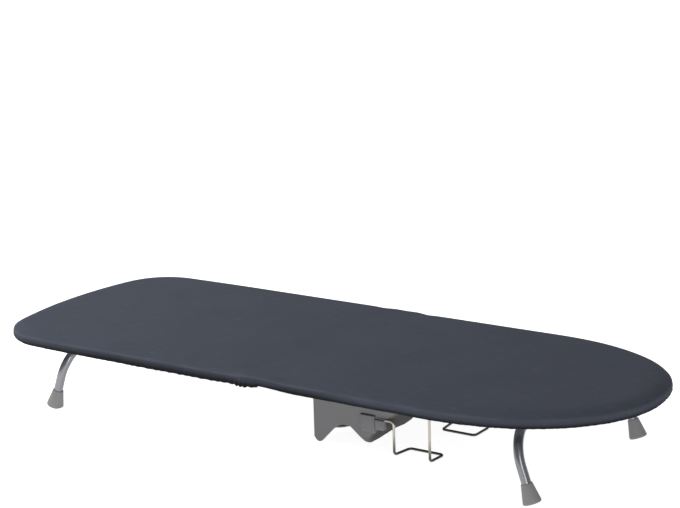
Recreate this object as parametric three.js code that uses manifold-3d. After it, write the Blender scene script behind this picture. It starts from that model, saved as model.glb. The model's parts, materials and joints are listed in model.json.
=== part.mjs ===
// A tabletop ironing board that folds in half, cover to cover, on a pair of hinge links.
// Millimetres, +Z up. The origin lies on the table under the middle of the fold.
// +X points to the nose and +Y to the far long side. Each half is drawn with +X away from the fold.

import * as THREE from 'three';
import { mergeVertices } from 'three/addons/utils/BufferGeometryUtils.js';
import Module from 'manifold-3d';

const wasm = await Module();
wasm.setup();

const DEG = Math.PI / 180;

// Outline of the board
const BOARD_WIDTH = 342;
const HALF_LENGTH = 454;
const NOSE_SIDE_END = 232; // the nose half's straight sides end this far from the fold
const NOSE_POWER_X = 2.2; // the nose is a superellipse
const NOSE_POWER_Y = 2.1;
const NOSE_STEPS = 16;
const BLUNT_CORNER_R = 74;
const BLUNT_END_R = 1047; // the blunt end is slightly bowed
const CORNER_STEPS = 8;

// Layers, from the hem on the underside up to the ironing surface
const HEM_UNDERSIDE = 94;
const BOARD_THICKNESS = 18;
const FIT_GAP = 0.3; // between pieces that touch
const OVERRUN = 1; // a cutting tool reaches this far past the faces it cuts
const COVER_WALL = 1.2;
const COVER_EDGE_R = 5.5;
const COVER_EDGE_STEPS = 3;
const HEM_WIDTH = 20;
const PAD_THICKNESS = 5;
const MESH_THICKNESS = 1.6;
const RIM_WALL = 2.5;
const SHEET_WALL = 1.4; // crossbars, rails, brackets and saddles are pressed from this sheet

// Fold hinge: a link on each long side turns on a pin in each half's leaf
const PIVOT_OFFSET = 8.5; // from the fold, along X
const PIVOT_DEPTH = 7; // below the ironing surface
const PIN_R = 1.8;
const PIN_HEAD_R = 3;
const PIN_HEAD_HEIGHT = 1.2;
const LINK_WALL = 2;
const LINK_R = 4.3;
const LEAF_LENGTH = 46;
const LEAF_WELD_HEIGHT = 6.4;
const LEAF_FOLD_END = 4;
const COVER_FOLD_END = 4.2; // the covers, pads and meshes stop this far from the fold
const RAIL_WIDTH = 16;
const NOTCH_LENGTH = 14.5; // the corners beside the fold are cut away for the links
const HEM_FOLD_END = 17;
const PIN_SIDES = 10;

// Net of flattened expanded steel, drawn with a coarse diamond
const NET_PITCH_X = 38;
const NET_PITCH_Y = 62;
const NET_STRAND = 8;
const NET_BORDER = 7;

// Crossbars
const LEG_BAR_WIDTH = 56;
const REST_BAR_WIDTH = 58;
const REST_BAR_X = 139;
const LEG_BAR_SHIFT = 3; // the leg bar's middle lies past the tube

// Folding leg frames
const NOSE_LEG_X = 334;
const BLUNT_LEG_X = 343;
const LEG_SPAN = 269; // between the axes of a frame's two legs
const LEG_TILT = 19 * DEG; // deployed legs lean away from the fold
const LEG_TRAVEL = 104.5 * DEG;
const TUBE_R = 6;
const TUBE_WALL = 1;
const TUBE_BEND_R = 46;
const TUBE_BEND_STEPS = 6;
const TUBE_ARC_POINTS = 6;
const RUNNING_GAP = 0.3;

// Feet
const FOOT_BASE_R = 11.4;
const FOOT_RIM_HEIGHT = 2;
const FOOT_WAIST_R = 9.4;
const FOOT_WAIST_HEIGHT = 13;
const FOOT_TOP_R = 7.2;
const FOOT_HEIGHT = 24;
const FOOT_SOLE = 8;
const FOOT_FLAT = 1.2; // worn flat where the tilted sole meets the table
const FOOT_SIDES = 18;

// Leg brackets
const BRACKET_LENGTH = 72; // along Y
const BRACKET_WIDTH = 46; // along X
const RIVET_SPACING_X = 32;
const RIVET_SPACING_Y = 58;
const RIVET_R = 1.6;
const RIVET_HEAD_R = 3.2;
const RIVET_HEAD_HEIGHT = 1.8;
const RIVET_CROWN_R = 1.6; // the domed head's inner ring, and its rise from the crown
const RIVET_CROWN_RISE = 0.2;
const RIVET_EDGE = 0.6;
const RIVET_TAIL_R = 2.6;
const RIVET_TAIL_HEIGHT = 1.2;
const RIVET_SIDES = 8;
const STOP_PIN_R = 1.5;
const STOP_PIN_TIP = 9.4; // from the tube's axis
const STOP_PIN_ROOT = 2;
const STOP_SLOT_WIDTH = 8;
const BARREL_STEPS = 8;

// Iron holder, which also props the fold
const HOLDER_WIDTH = 141;
const HOLDER_WALL = 2.4;
const HOLDER_FOLD_END = 11;
const HOLDER_TIP_GAP = 3; // from the plate's tip to the leg bracket
const HOLDER_SHOULDER_X = 185; // the plate narrows to its tip from here
const HOLDER_TIP_POWER = 0.62;
const HOLDER_TIP_STEPS = 8;
const HOLDER_TOE_X = 20; // the walls' feet stand on the table
const HOLDER_TOE_CHAMFER = 6;
const HOLDER_ARCH_X = 60;
const HOLDER_ARCH_WIDTH = 14;
const HOLDER_ARCH_HEIGHT = 29.5;
const HOLDER_BUMP_X = 96;
const HOLDER_BUMP_WIDTH = 8;
const HOLDER_BUMP_HEIGHT = 12;
const HOLDER_CHEEK_X = 144;
const HOLDER_CHEEK_HEIGHT = 41.5;
const HOLDER_WINDOW_LENGTH = 52;
const HOLDER_WINDOW_X = 74;
const HOLDER_WINDOW_MARGIN = 8;
const HOLDER_SLOT_X = 219;
const HOLDER_SLOT_LENGTH = 45;
const HOLDER_SLOT_WIDTH = 16;
const HOLDER_VENT_X = 30;
const HOLDER_VENT_LENGTH = 74;
const HOLDER_VENT_WIDTH = 11;
const HOLDER_EYE_INSET = 34; // from the plate's tip
const HOLDER_EYE_R = 5;
const HOLDER_EYE_SIDES = 12;
const LIP_RISE = 4;
const LIP_HUMP_RISE = 20;
const LIP_HUMP_WIDTH = 66;
const LIP_STEPS = 10;
const BAR_WIDTH = 9;
const BAR_THICKNESS = 3;
const SCREW_X = 138;
const SCREW_SPACING = 100;
const SCREW_FACE_R = 2.6;
const SCREW_EDGE = 0.9;

// Wire retainers on the holder's walls
const WIRE_R = 1.5;
const WIRE_BEND_R = 4;
const WIRE_BEND_STEPS = 3;
const WIRE_ARC_POINTS = 3;
const WIRE_STANDOFF = 3.6; // wire axis from the wall's outer face
const WIRE_SHELF = 30;
const WIRE_LOW_X = 135;
const WIRE_HIGH_X = 186;
const WIRE_FLOOR_GAP = 0.8;
const WIRE_LOW_HEIGHT = 47;
const WIRE_HIGH_HEIGHT = 83;
const WIRE_TAIL = 28;
const LUG_LENGTH = 22;
const LUG_HEIGHT = 14;
const LUG_GRIP = 14; // of the wire's tail, from its end
const LUG_DEPTH = 7.4;

// Cover drawcord with its lock, tucked behind the hem at the nose
const LOCK_LENGTH = 14;
const LOCK_WIDTH = 16;
const LOCK_UNDERSIDE = 94.4;
const LOCK_HEM_GAP = 0.8; // the hem's edge curves past the lock's corners
const CORD_R = 1.5;
const CORD_SPREAD = 8;
const CORD_OUT = 10;
const CORD_DROP = 22;
const CORD_BEND_R = 4;
const CORD_BEND_STEPS = 5;
const CORD_ARC_POINTS = 4;

// Closing strap under the blunt end
const STRAP_INSET = 30; // the strap's pin from the blunt end
const STRAP_WIDTH = 15;
const STRAP_THICKNESS = 1.6;
const STRAP_LENGTH = 42;
const STRAP_EYE_R = 3.4;
const STRAP_PIN_R = 1.5;
const STRAP_PIN_DROP = 6;
const STRAP_CHEEK_WALL = 1.5;
const STRAP_ANCHOR_WIDTH = 10;
const STRAP_HOOK_HEIGHT = 14;
const STRAP_HOOK_DEPTH = 7;
const STRAP_HOOK_OVERHANG = 1;
const STRAP_HOOK_SLOT = 4;
const STRAP_HOOK_SLOT_RISE = 4;

// Heights and insets that follow from the layers
const TOP = HEM_UNDERSIDE + BOARD_THICKNESS;
const PAD_OFFSET = COVER_WALL + FIT_GAP;
const PAD_BOTTOM = TOP - PAD_OFFSET - PAD_THICKNESS;
const MESH_TOP = PAD_BOTTOM - FIT_GAP;
const MESH_BOTTOM = MESH_TOP - MESH_THICKNESS;
const BAR_TOP = MESH_BOTTOM - FIT_GAP;
const BAR_BOTTOM = HEM_UNDERSIDE + COVER_WALL + FIT_GAP;
const RIM_INSET = COVER_WALL + FIT_GAP;
const BAY_INSET = RIM_INSET + RIM_WALL + FIT_GAP;
const BRACKET_TOP = BAR_BOTTOM - FIT_GAP;
const BRACKET_BOTTOM = BRACKET_TOP - SHEET_WALL;
const LEG_AXIS_Z = BRACKET_BOTTOM - RUNNING_GAP - TUBE_R;
const SADDLE_TOP = BRACKET_BOTTOM - FIT_GAP;
const SADDLE_BOTTOM = SADDLE_TOP - SHEET_WALL;
const PIVOT_Z = TOP - PIVOT_DEPTH;
const LEAF_Y = BOARD_WIDTH / 2 - BAY_INSET - LINK_WALL;
const LINK_Y = LEAF_Y - FIT_GAP - LINK_WALL;
const NOTCH_Y = LINK_Y - PIN_HEAD_HEIGHT - 2 * FIT_GAP;
const HOLDER_TOP = BRACKET_TOP;
const HOLDER_BOTTOM = HOLDER_TOP - HOLDER_WALL;
const LEG_LENGTH = (LEG_AXIS_Z + FOOT_FLAT - FOOT_BASE_R * Math.sin(LEG_TILT)) / Math.cos(LEG_TILT);
const FAR_AWAY = 2 * HALF_LENGTH;

// Finishes
function finish(color, roughness, metalness) {
  return new THREE.MeshStandardMaterial({ color, roughness, metalness });
}

const COVER_CLOTH = finish(0x4b4e57, 0.9, 0);
const PAD_FELT = finish(0xc5c6cf, 1, 0);
const GREY_STEEL = finish(0x858c96, 0.5, 0.5);
const NET_STEEL = finish(0x8a8c94, 0.5, 0.5);
const SILVER_TUBE = finish(0x9fa2aa, 0.4, 0.6);
const BRIGHT_STEEL = finish(0xc8c8c8, 0.25, 1);
const GREY_PLASTIC = finish(0x777a7c, 0.6, 0);
const FOOT_PLASTIC = finish(0x8a8a8c, 0.7, 0);
const WHITE_PLASTIC = finish(0xe4e3e8, 0.5, 0);
const WHITE_WEBBING = finish(0xe4e3e8, 0.9, 0);
const BLACK_CORD = finish(0x18181a, 0.9, 0);

// Solid modelling

/** Volume inside a triangle mesh, negative where its faces point in. */
function signedVolume(geometry) {
  const corner = [new THREE.Vector3(), new THREE.Vector3(), new THREE.Vector3()];
  let volume = 0;
  for (let i = 0; i < geometry.index.count; i += 3) {
    corner.forEach((c, k) => c.fromBufferAttribute(geometry.attributes.position, geometry.index.getX(i + k)));
    volume += corner[0].dot(corner[1].clone().cross(corner[2])) / 6;
  }
  return volume;
}

/** Welds a geometry's vertices and turns its faces out. */
function closed(geometry) {
  const bare = geometry.clone();
  bare.deleteAttribute('normal');
  bare.deleteAttribute('uv');
  const welded = mergeVertices(bare, 1e-4);
  if (signedVolume(welded) < 0) {
    welded.setIndex(Array.from(welded.index.array).reverse());
  }
  return welded;
}

function solidOf(geometry) {
  const welded = closed(geometry);
  const vertProperties = new Float32Array(welded.attributes.position.array);
  const triVerts = new Uint32Array(welded.index.array);
  return new wasm.Manifold(new wasm.Mesh({ numProp: 3, vertProperties, triVerts }));
}

function geometryOf(solid) {
  const mesh = solid.getMesh();
  const geometry = new THREE.BufferGeometry();
  geometry.setAttribute('position', new THREE.BufferAttribute(new Float32Array(mesh.vertProperties), 3));
  geometry.setIndex(Array.from(mesh.triVerts));
  return geometry;
}

function cut(geometry, ...tools) {
  return geometryOf(tools.reduce((solid, tool) => solid.subtract(solidOf(tool)), solidOf(geometry)));
}

function join(...geometries) {
  return geometryOf(geometries.map(solidOf).reduce((solid, next) => solid.add(next)));
}

function common(geometry, tool) {
  return geometryOf(solidOf(geometry).intersect(solidOf(tool)));
}

// Basic shapes

const point = (x, y) => new THREE.Vector2(x, y);

function box(x0, x1, y0, y1, z0, z1) {
  const geometry = new THREE.BoxGeometry(x1 - x0, y1 - y0, z1 - z0);
  return geometry.translate((x0 + x1) / 2, (y0 + y1) / 2, (z0 + z1) / 2);
}

/** An outline in X and Y, raised from z0 to z1, with optional holes. */
function prism(outline, z0, z1, holes = []) {
  const shape = new THREE.Shape(outline);
  shape.holes = holes.map((hole) => new THREE.Path(hole));
  const geometry = new THREE.ExtrudeGeometry(shape, { depth: z1 - z0, bevelEnabled: false });
  return geometry.translate(0, 0, z0);
}

/** An outline in X and Z, drawn across from y0 to y1. */
function crossPrism(outline, y0, y1) {
  const geometry = prism(outline, 0, y1 - y0);
  return geometry.rotateX(Math.PI / 2).translate(0, y1, 0);
}

function rodZ(radius, x, y, z0, z1, sides) {
  const geometry = new THREE.CylinderGeometry(radius, radius, z1 - z0, sides);
  return geometry.rotateX(Math.PI / 2).translate(x, y, (z0 + z1) / 2);
}

function rodY(radius, x, z, y0, y1, sides) {
  return new THREE.CylinderGeometry(radius, radius, y1 - y0, sides).translate(x, (y0 + y1) / 2, z);
}

/** The lower and upper Y of a span that lies on the near or far side. */
function sideSpan(side, inner, outer) {
  return side < 0 ? [-outer, -inner] : [inner, outer];
}

/** A turned piece about Z, from radius and height pairs. */
function turned(profile, sides) {
  return new THREE.LatheGeometry(profile.map(([r, z]) => point(r, z)), sides).rotateX(Math.PI / 2);
}

function arc(cx, cy, radius, from, to, steps) {
  return Array.from({ length: steps + 1 }, (_, k) => {
    const angle = from + ((to - from) * k) / steps;
    return point(cx + radius * Math.cos(angle), cy + radius * Math.sin(angle));
  });
}

/** Rings of equal counts, stacked upwards and capped at both ends. */
function stackedRings(rings) {
  const count = rings[0].outline.length;
  const position = rings.flatMap(({ outline, z }) => outline.flatMap((p) => [p.x, p.y, z]));
  const top = (rings.length - 1) * count;
  const index = [];
  for (let ring = 0; ring < top; ring += count) {
    for (let k = 0; k < count; k += 1) {
      const next = (k + 1) % count;
      index.push(ring + k, ring + next, ring + count + next);
      index.push(ring + k, ring + count + next, ring + count + k);
    }
  }
  THREE.ShapeUtils.triangulateShape(rings[0].outline, []).forEach(([a, b, c]) => {
    index.push(c, b, a);
  });
  THREE.ShapeUtils.triangulateShape(rings[rings.length - 1].outline, []).forEach(([a, b, c]) => {
    index.push(top + a, top + b, top + c);
  });
  const geometry = new THREE.BufferGeometry();
  geometry.setAttribute('position', new THREE.Float32BufferAttribute(position, 3));
  geometry.setIndex(index);
  return geometry;
}

/** A route of straight runs and round bends that is sectioned only where it turns. */
class BentRoute extends THREE.Curve {
  constructor(corners, bendRadius, bendSteps) {
    super();
    this.stations = [];
    const last = corners.length - 1;
    corners.forEach((corner, i) => {
      const before = corners[Math.max(i - 1, 0)];
      const after = corners[Math.min(i + 1, last)];
      const arriving = corner.clone().sub(before).normalize();
      const leaving = after.clone().sub(corner).normalize();
      if (i === 0 || i === last) {
        this.stations.push({ place: corner, heading: i === 0 ? leaving : arriving });
        return;
      }
      const turn = arriving.angleTo(leaving);
      const start = corner.clone().addScaledVector(arriving, -bendRadius * Math.tan(turn / 2));
      const inward = leaving.clone().addScaledVector(arriving, -arriving.dot(leaving)).normalize();
      for (let k = 0; k <= bendSteps; k += 1) {
        const angle = (turn * k) / bendSteps;
        const place = start.clone().addScaledVector(arriving, bendRadius * Math.sin(angle));
        place.addScaledVector(inward, bendRadius * (1 - Math.cos(angle)));
        const heading = arriving.clone().multiplyScalar(Math.cos(angle));
        this.stations.push({ place, heading: heading.addScaledVector(inward, Math.sin(angle)) });
      }
    });
    this.steps = this.stations.length - 1;
  }

  getPointAt(u) {
    return this.stations[Math.round(u * this.steps)].place.clone();
  }

  getTangentAt(u) {
    return this.stations[Math.round(u * this.steps)].heading.clone();
  }
}

/** A round bar, or a tube where a wall is given, along a bent route. */
function bentRod(route, radius, arcPoints, wall = 0) {
  const section = new THREE.Shape();
  section.absarc(0, 0, radius, 0, 2 * Math.PI);
  if (wall > 0) {
    section.holes.push(new THREE.Path().absarc(0, 0, radius - wall, 0, 2 * Math.PI, true));
  }
  return new THREE.ExtrudeGeometry(section, {
    steps: route.steps,
    curveSegments: arcPoints,
    extrudePath: route,
  });
}

function piece(name, geometry, material) {
  const mesh = new THREE.Mesh(closed(geometry), material);
  mesh.name = name;
  return mesh;
}

// Outlines of the two halves, drawn in by an inset

/** The nose's round edge, from the near side over the tip to the far side. */
function noseEdge(inset) {
  const half = BOARD_WIDTH / 2;
  const reach = HALF_LENGTH - NOSE_SIDE_END;
  return Array.from({ length: 2 * NOSE_STEPS + 1 }, (_, k) => {
    const angle = (k / NOSE_STEPS - 1) * 90 * DEG;
    const along = Math.max(Math.cos(angle), 0) ** (2 / NOSE_POWER_X);
    const side = Math.sign(Math.sin(angle));
    const across = Math.abs(Math.sin(angle)) ** (2 / NOSE_POWER_Y);
    const normal = point(
      (NOSE_POWER_X / reach) * along ** (NOSE_POWER_X - 1),
      side * (NOSE_POWER_Y / half) * across ** (NOSE_POWER_Y - 1),
    ).normalize();
    return point(NOSE_SIDE_END + reach * along, side * half * across).addScaledVector(normal, -inset);
  });
}

/** The blunt end's two round corners and bowed edge. */
function bluntEdge(inset) {
  const cornerY = BOARD_WIDTH / 2 - BLUNT_CORNER_R;
  const bowCentre = HALF_LENGTH - BLUNT_END_R;
  const cornerX = bowCentre + Math.sqrt((BLUNT_END_R - BLUNT_CORNER_R) ** 2 - cornerY ** 2);
  const bow = Math.asin(cornerY / (BLUNT_END_R - BLUNT_CORNER_R));
  const radius = BLUNT_CORNER_R - inset;
  return [
    ...arc(cornerX, -cornerY, radius, -90 * DEG, -bow, CORNER_STEPS),
    ...arc(bowCentre, 0, BLUNT_END_R - inset, -bow, bow, CORNER_STEPS).slice(1, -1),
    ...arc(cornerX, cornerY, radius, bow, 90 * DEG, CORNER_STEPS),
  ];
}

/** A half's closed outline, which starts at foldX. */
function outlineOf(edge, inset, foldX) {
  const side = BOARD_WIDTH / 2 - inset;
  return [point(foldX, -side), ...edge(inset), point(foldX, side)];
}

/** Rings of a padded edge that lies a given offset inside the cover's outer face. */
function crownRings(edge, offset, bottom, foldX) {
  const radius = COVER_EDGE_R - offset;
  const rings = [{ outline: outlineOf(edge, offset, foldX), z: bottom }];
  arc(0, 0, radius, 0, 90 * DEG, COVER_EDGE_STEPS).forEach((p) => {
    rings.push({ outline: outlineOf(edge, COVER_EDGE_R - p.x, foldX), z: TOP - COVER_EDGE_R + p.y });
  });
  return rings;
}

/** The two corners beside the fold, where the hinge links swing. */
function foldNotches() {
  return [-1, 1].map((side) => {
    const [y0, y1] = sideSpan(side, NOTCH_Y, BOARD_WIDTH);
    return box(-FAR_AWAY, NOTCH_LENGTH, y0, y1, 0, 2 * TOP);
  });
}

function insideOutline(p, outline) {
  return outline.every((a, i) => {
    const b = outline[(i + 1) % outline.length];
    return (b.x - a.x) * (p.y - a.y) - (b.y - a.y) * (p.x - a.x) > 0;
  });
}

// Pieces of a half

function coverOf(edge) {
  const outside = stackedRings(crownRings(edge, 0, HEM_UNDERSIDE, -HEM_WIDTH));
  const inside = stackedRings(crownRings(edge, COVER_WALL, HEM_UNDERSIDE + COVER_WALL, -HEM_WIDTH));
  const hemOpening = prism(outlineOf(edge, HEM_WIDTH, -HEM_WIDTH), 0, HEM_UNDERSIDE + 2 * COVER_WALL);
  const foldCut = box(-FAR_AWAY, COVER_FOLD_END, -BOARD_WIDTH, BOARD_WIDTH, 0, 2 * TOP);
  const hemCut = box(-FAR_AWAY, HEM_FOLD_END, -BOARD_WIDTH, BOARD_WIDTH, 0, PAD_BOTTOM);
  return cut(outside, inside, hemOpening, foldCut, hemCut, ...foldNotches());
}

function padOf(edge) {
  return cut(stackedRings(crownRings(edge, PAD_OFFSET, PAD_BOTTOM, COVER_FOLD_END)), ...foldNotches());
}

function rimOf(edge) {
  const start = NOTCH_LENGTH + FIT_GAP;
  const outside = prism(outlineOf(edge, RIM_INSET, start), BAR_BOTTOM, MESH_TOP);
  return cut(outside, prism(outlineOf(edge, RIM_INSET + RIM_WALL, 0), 0, TOP));
}

function netOf(edge) {
  const frame = outlineOf(edge, BAY_INSET + NET_BORDER, COVER_FOLD_END + NET_BORDER);
  const reachX = (NET_PITCH_X - NET_STRAND) / 2;
  const reachY = (NET_PITCH_Y - NET_STRAND) / 2;
  const rows = Math.ceil((2 * HALF_LENGTH) / NET_PITCH_X);
  const columns = Math.ceil(BOARD_WIDTH / NET_PITCH_Y);
  const holes = [];
  for (let row = 1; row < rows; row += 1) {
    for (let column = -columns; column <= columns; column += 1) {
      const x = COVER_FOLD_END + (row * NET_PITCH_X) / 2;
      const y = (column + (row % 2) / 2) * NET_PITCH_Y;
      const diamond = [
        point(x - reachX, y), point(x, y - reachY), point(x + reachX, y), point(x, y + reachY),
      ];
      if (diamond.every((p) => insideOutline(p, frame))) {
        holes.push(diamond);
      }
    }
  }
  const sheet = prism(outlineOf(edge, BAY_INSET, COVER_FOLD_END), MESH_BOTTOM, MESH_TOP, holes);
  return cut(sheet, ...foldNotches());
}

/** The section of a pressed channel that is open towards the net. */
function channelSection(left, right) {
  const floor = BAR_BOTTOM + SHEET_WALL;
  return [
    point(left, BAR_BOTTOM), point(right, BAR_BOTTOM),
    point(right, BAR_TOP), point(right - SHEET_WALL, BAR_TOP),
    point(right - SHEET_WALL, floor), point(left + SHEET_WALL, floor),
    point(left + SHEET_WALL, BAR_TOP), point(left, BAR_TOP),
  ];
}

/** A channel across a half, with its ends cut to the rim. */
function channelOf(edge, x, width, holes = []) {
  const section = channelSection(x - width / 2, x + width / 2);
  const bay = prism(outlineOf(edge, BAY_INSET, 0), 0, TOP);
  return cut(common(crossPrism(section, -BOARD_WIDTH, BOARD_WIDTH), bay), ...holes);
}

/** The channel beside the fold, which butts on the other half's. */
function railOf() {
  return crossPrism(channelSection(FIT_GAP, FIT_GAP + RAIL_WIDTH), -NOTCH_Y, NOTCH_Y);
}

/** A hinge pin's bore through a plate from y0 to y1. */
function pinBore(x, y0, y1) {
  return rodY(PIN_R + FIT_GAP, x, PIVOT_Z, y0 - OVERRUN, y1 + OVERRUN, PIN_SIDES);
}

/** A hinge leaf welded inside the rim, with a round knuckle that carries the pin. */
function leafOf(side) {
  const knuckle = arc(PIVOT_OFFSET, PIVOT_Z, PIVOT_OFFSET - LEAF_FOLD_END, 0, 180 * DEG, BARREL_STEPS);
  const outline = [
    point(LEAF_FOLD_END, BAR_BOTTOM), point(LEAF_LENGTH, BAR_BOTTOM),
    point(LEAF_LENGTH, BAR_BOTTOM + LEAF_WELD_HEIGHT),
    point(2 * PIVOT_OFFSET - LEAF_FOLD_END, BAR_BOTTOM + LEAF_WELD_HEIGHT),
    ...knuckle,
  ];
  const [y0, y1] = sideSpan(side, LEAF_Y, LEAF_Y + LINK_WALL);
  return cut(crossPrism(outline, y0, y1), pinBore(PIVOT_OFFSET, y0, y1));
}

/** A hinge pin with a head inside the link and a head outside the leaf. */
function hingePinOf(side) {
  const inner = LINK_Y - FIT_GAP;
  const outer = LEAF_Y + LINK_WALL + FIT_GAP;
  const profile = [
    [0, inner - PIN_HEAD_HEIGHT], [PIN_HEAD_R, inner - PIN_HEAD_HEIGHT], [PIN_HEAD_R, inner], [PIN_R, inner],
    [PIN_R, outer], [PIN_HEAD_R, outer], [PIN_HEAD_R, outer + PIN_HEAD_HEIGHT], [0, outer + PIN_HEAD_HEIGHT],
  ];
  return turned(profile, PIN_SIDES).rotateX(-side * 90 * DEG).translate(PIVOT_OFFSET, 0, PIVOT_Z);
}

/** A link plate that joins the two pins on one long side. */
function linkOf(side) {
  const outline = [
    ...arc(PIVOT_OFFSET, PIVOT_Z, LINK_R, -90 * DEG, 90 * DEG, BARREL_STEPS),
    ...arc(-PIVOT_OFFSET, PIVOT_Z, LINK_R, 90 * DEG, 270 * DEG, BARREL_STEPS),
  ];
  const [y0, y1] = sideSpan(side, LINK_Y, LINK_Y + LINK_WALL);
  return cut(crossPrism(outline, y0, y1), pinBore(-PIVOT_OFFSET, y0, y1), pinBore(PIVOT_OFFSET, y0, y1));
}

// Leg brackets and folding legs

function rivetPlaces(legX) {
  return [-1, 1].flatMap((end) => [-1, 1].map((side) => [
    legX + (end * RIVET_SPACING_X) / 2,
    (side * RIVET_SPACING_Y) / 2,
  ]));
}

function rivetHoles(legX) {
  return rivetPlaces(legX).map(([x, y]) => rodZ(RIVET_R + FIT_GAP, x, y, 0, TOP, RIVET_SIDES));
}

function rivetAt([x, y]) {
  const headTop = SADDLE_BOTTOM - FIT_GAP;
  const headBottom = headTop - RIVET_HEAD_HEIGHT;
  const tailBottom = BAR_BOTTOM + SHEET_WALL + FIT_GAP;
  const profile = [
    [0, headBottom], [RIVET_CROWN_R, headBottom + RIVET_CROWN_RISE],
    [RIVET_HEAD_R, headTop - RIVET_EDGE], [RIVET_HEAD_R, headTop], [RIVET_R, headTop],
    [RIVET_R, tailBottom], [RIVET_TAIL_R, tailBottom],
    [RIVET_TAIL_R, tailBottom + RIVET_TAIL_HEIGHT], [0, tailBottom + RIVET_TAIL_HEIGHT],
  ];
  return turned(profile, RIVET_SIDES).translate(x, y, 0);
}

function bracketBaseOf(legX) {
  const [reachX, reachY] = [BRACKET_WIDTH / 2, BRACKET_LENGTH / 2];
  const plate = box(legX - reachX, legX + reachX, -reachY, reachY, BRACKET_BOTTOM, BRACKET_TOP);
  return cut(plate, ...rivetHoles(legX));
}

/** The angle of the stop pin about the tube when the leg is out, from +X towards +Z. */
const STOP_PIN_ANGLE = -90 * DEG + LEG_TRAVEL / 2;

/** A pressed saddle that holds the leg tube up against the bracket, slotted for the stop pin. */
function saddleOf(legX) {
  const inner = TUBE_R + RUNNING_GAP;
  const outer = inner + SHEET_WALL;
  const reach = BRACKET_WIDTH / 2;
  const section = [
    point(legX - reach, SADDLE_BOTTOM), point(legX - outer, SADDLE_BOTTOM),
    ...arc(legX, LEG_AXIS_Z, outer, 180 * DEG, 360 * DEG, BARREL_STEPS),
    point(legX + outer, SADDLE_BOTTOM), point(legX + reach, SADDLE_BOTTOM),
    point(legX + reach, SADDLE_TOP), point(legX + inner, SADDLE_TOP),
    ...arc(legX, LEG_AXIS_Z, inner, 0, -180 * DEG, BARREL_STEPS),
    point(legX - inner, SADDLE_TOP), point(legX - reach, SADDLE_TOP),
  ];
  const margin = Math.asin((STOP_PIN_R + 2 * RUNNING_GAP) / inner);
  const slotEnd = STOP_PIN_ANGLE - LEG_TRAVEL - margin;
  const sector = [
    point(legX, LEG_AXIS_Z),
    ...arc(legX, LEG_AXIS_Z, 2 * outer, slotEnd, STOP_PIN_ANGLE + margin, BARREL_STEPS),
  ];
  const slot = crossPrism(sector, -STOP_SLOT_WIDTH / 2, STOP_SLOT_WIDTH / 2);
  return cut(crossPrism(section, -BRACKET_LENGTH / 2, BRACKET_LENGTH / 2), slot, ...rivetHoles(legX));
}

/** Turns a shape about the tube's axis so that its +Z points along the stop pin. */
function alongStopPin(geometry) {
  return geometry.rotateY(90 * DEG - STOP_PIN_ANGLE + LEG_TILT);
}

/** A leg frame on its axis, with its legs along -Z, as a group turned to its deployed lean. */
function legFrame(name, legX, nearSide) {
  const frame = new THREE.Group();
  frame.position.set(legX, 0, LEG_AXIS_Z);
  frame.rotation.y = -LEG_TILT;
  const side = LEG_SPAN / 2;
  const tubeEnd = LEG_LENGTH - FOOT_SOLE - FIT_GAP;
  const corners = [[-side, -tubeEnd], [-side, 0], [side, 0], [side, -tubeEnd]];
  const route = new BentRoute(
    corners.map(([y, z]) => new THREE.Vector3(0, y, z)),
    TUBE_BEND_R,
    TUBE_BEND_STEPS,
  );
  const pinRod = (radius) => rodZ(radius, 0, 0, STOP_PIN_ROOT, STOP_PIN_TIP, RIVET_SIDES);
  const pinHole = alongStopPin(pinRod(STOP_PIN_R + RUNNING_GAP));
  const pin = alongStopPin(pinRod(STOP_PIN_R));
  const tube = cut(bentRod(route, TUBE_R, TUBE_ARC_POINTS, TUBE_WALL), pinHole);
  frame.add(piece(`${name}_leg_tube`, tube, SILVER_TUBE));
  frame.add(piece(`${name}_leg_stop_pin`, pin, BRIGHT_STEEL));
  frame.updateMatrix();
  const table = box(-FAR_AWAY, FAR_AWAY, -FAR_AWAY, FAR_AWAY, -FAR_AWAY, 0);
  table.applyMatrix4(frame.matrix.clone().invert());
  const bore = TUBE_R + FIT_GAP;
  const profile = [
    [0, 0], [FOOT_BASE_R, 0], [FOOT_BASE_R, FOOT_RIM_HEIGHT], [FOOT_WAIST_R, FOOT_WAIST_HEIGHT],
    [FOOT_TOP_R, FOOT_HEIGHT], [bore, FOOT_HEIGHT], [bore, FOOT_SOLE], [0, FOOT_SOLE],
  ];
  [-1, 1].forEach((end) => {
    const foot = turned(profile, FOOT_SIDES).translate(0, end * side, -LEG_LENGTH);
    const place = end === nearSide ? 'near' : 'far';
    frame.add(piece(`${name}_foot_${place}`, cut(foot, table), FOOT_PLASTIC));
  });
  return frame;
}

// Iron holder

const HOLDER_SIDE = HOLDER_WIDTH / 2;
const HOLDER_TIP_X = NOSE_LEG_X - BRACKET_WIDTH / 2 - HOLDER_TIP_GAP;
const HOLDER_EYE_X = HOLDER_TIP_X - HOLDER_EYE_INSET;

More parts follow.
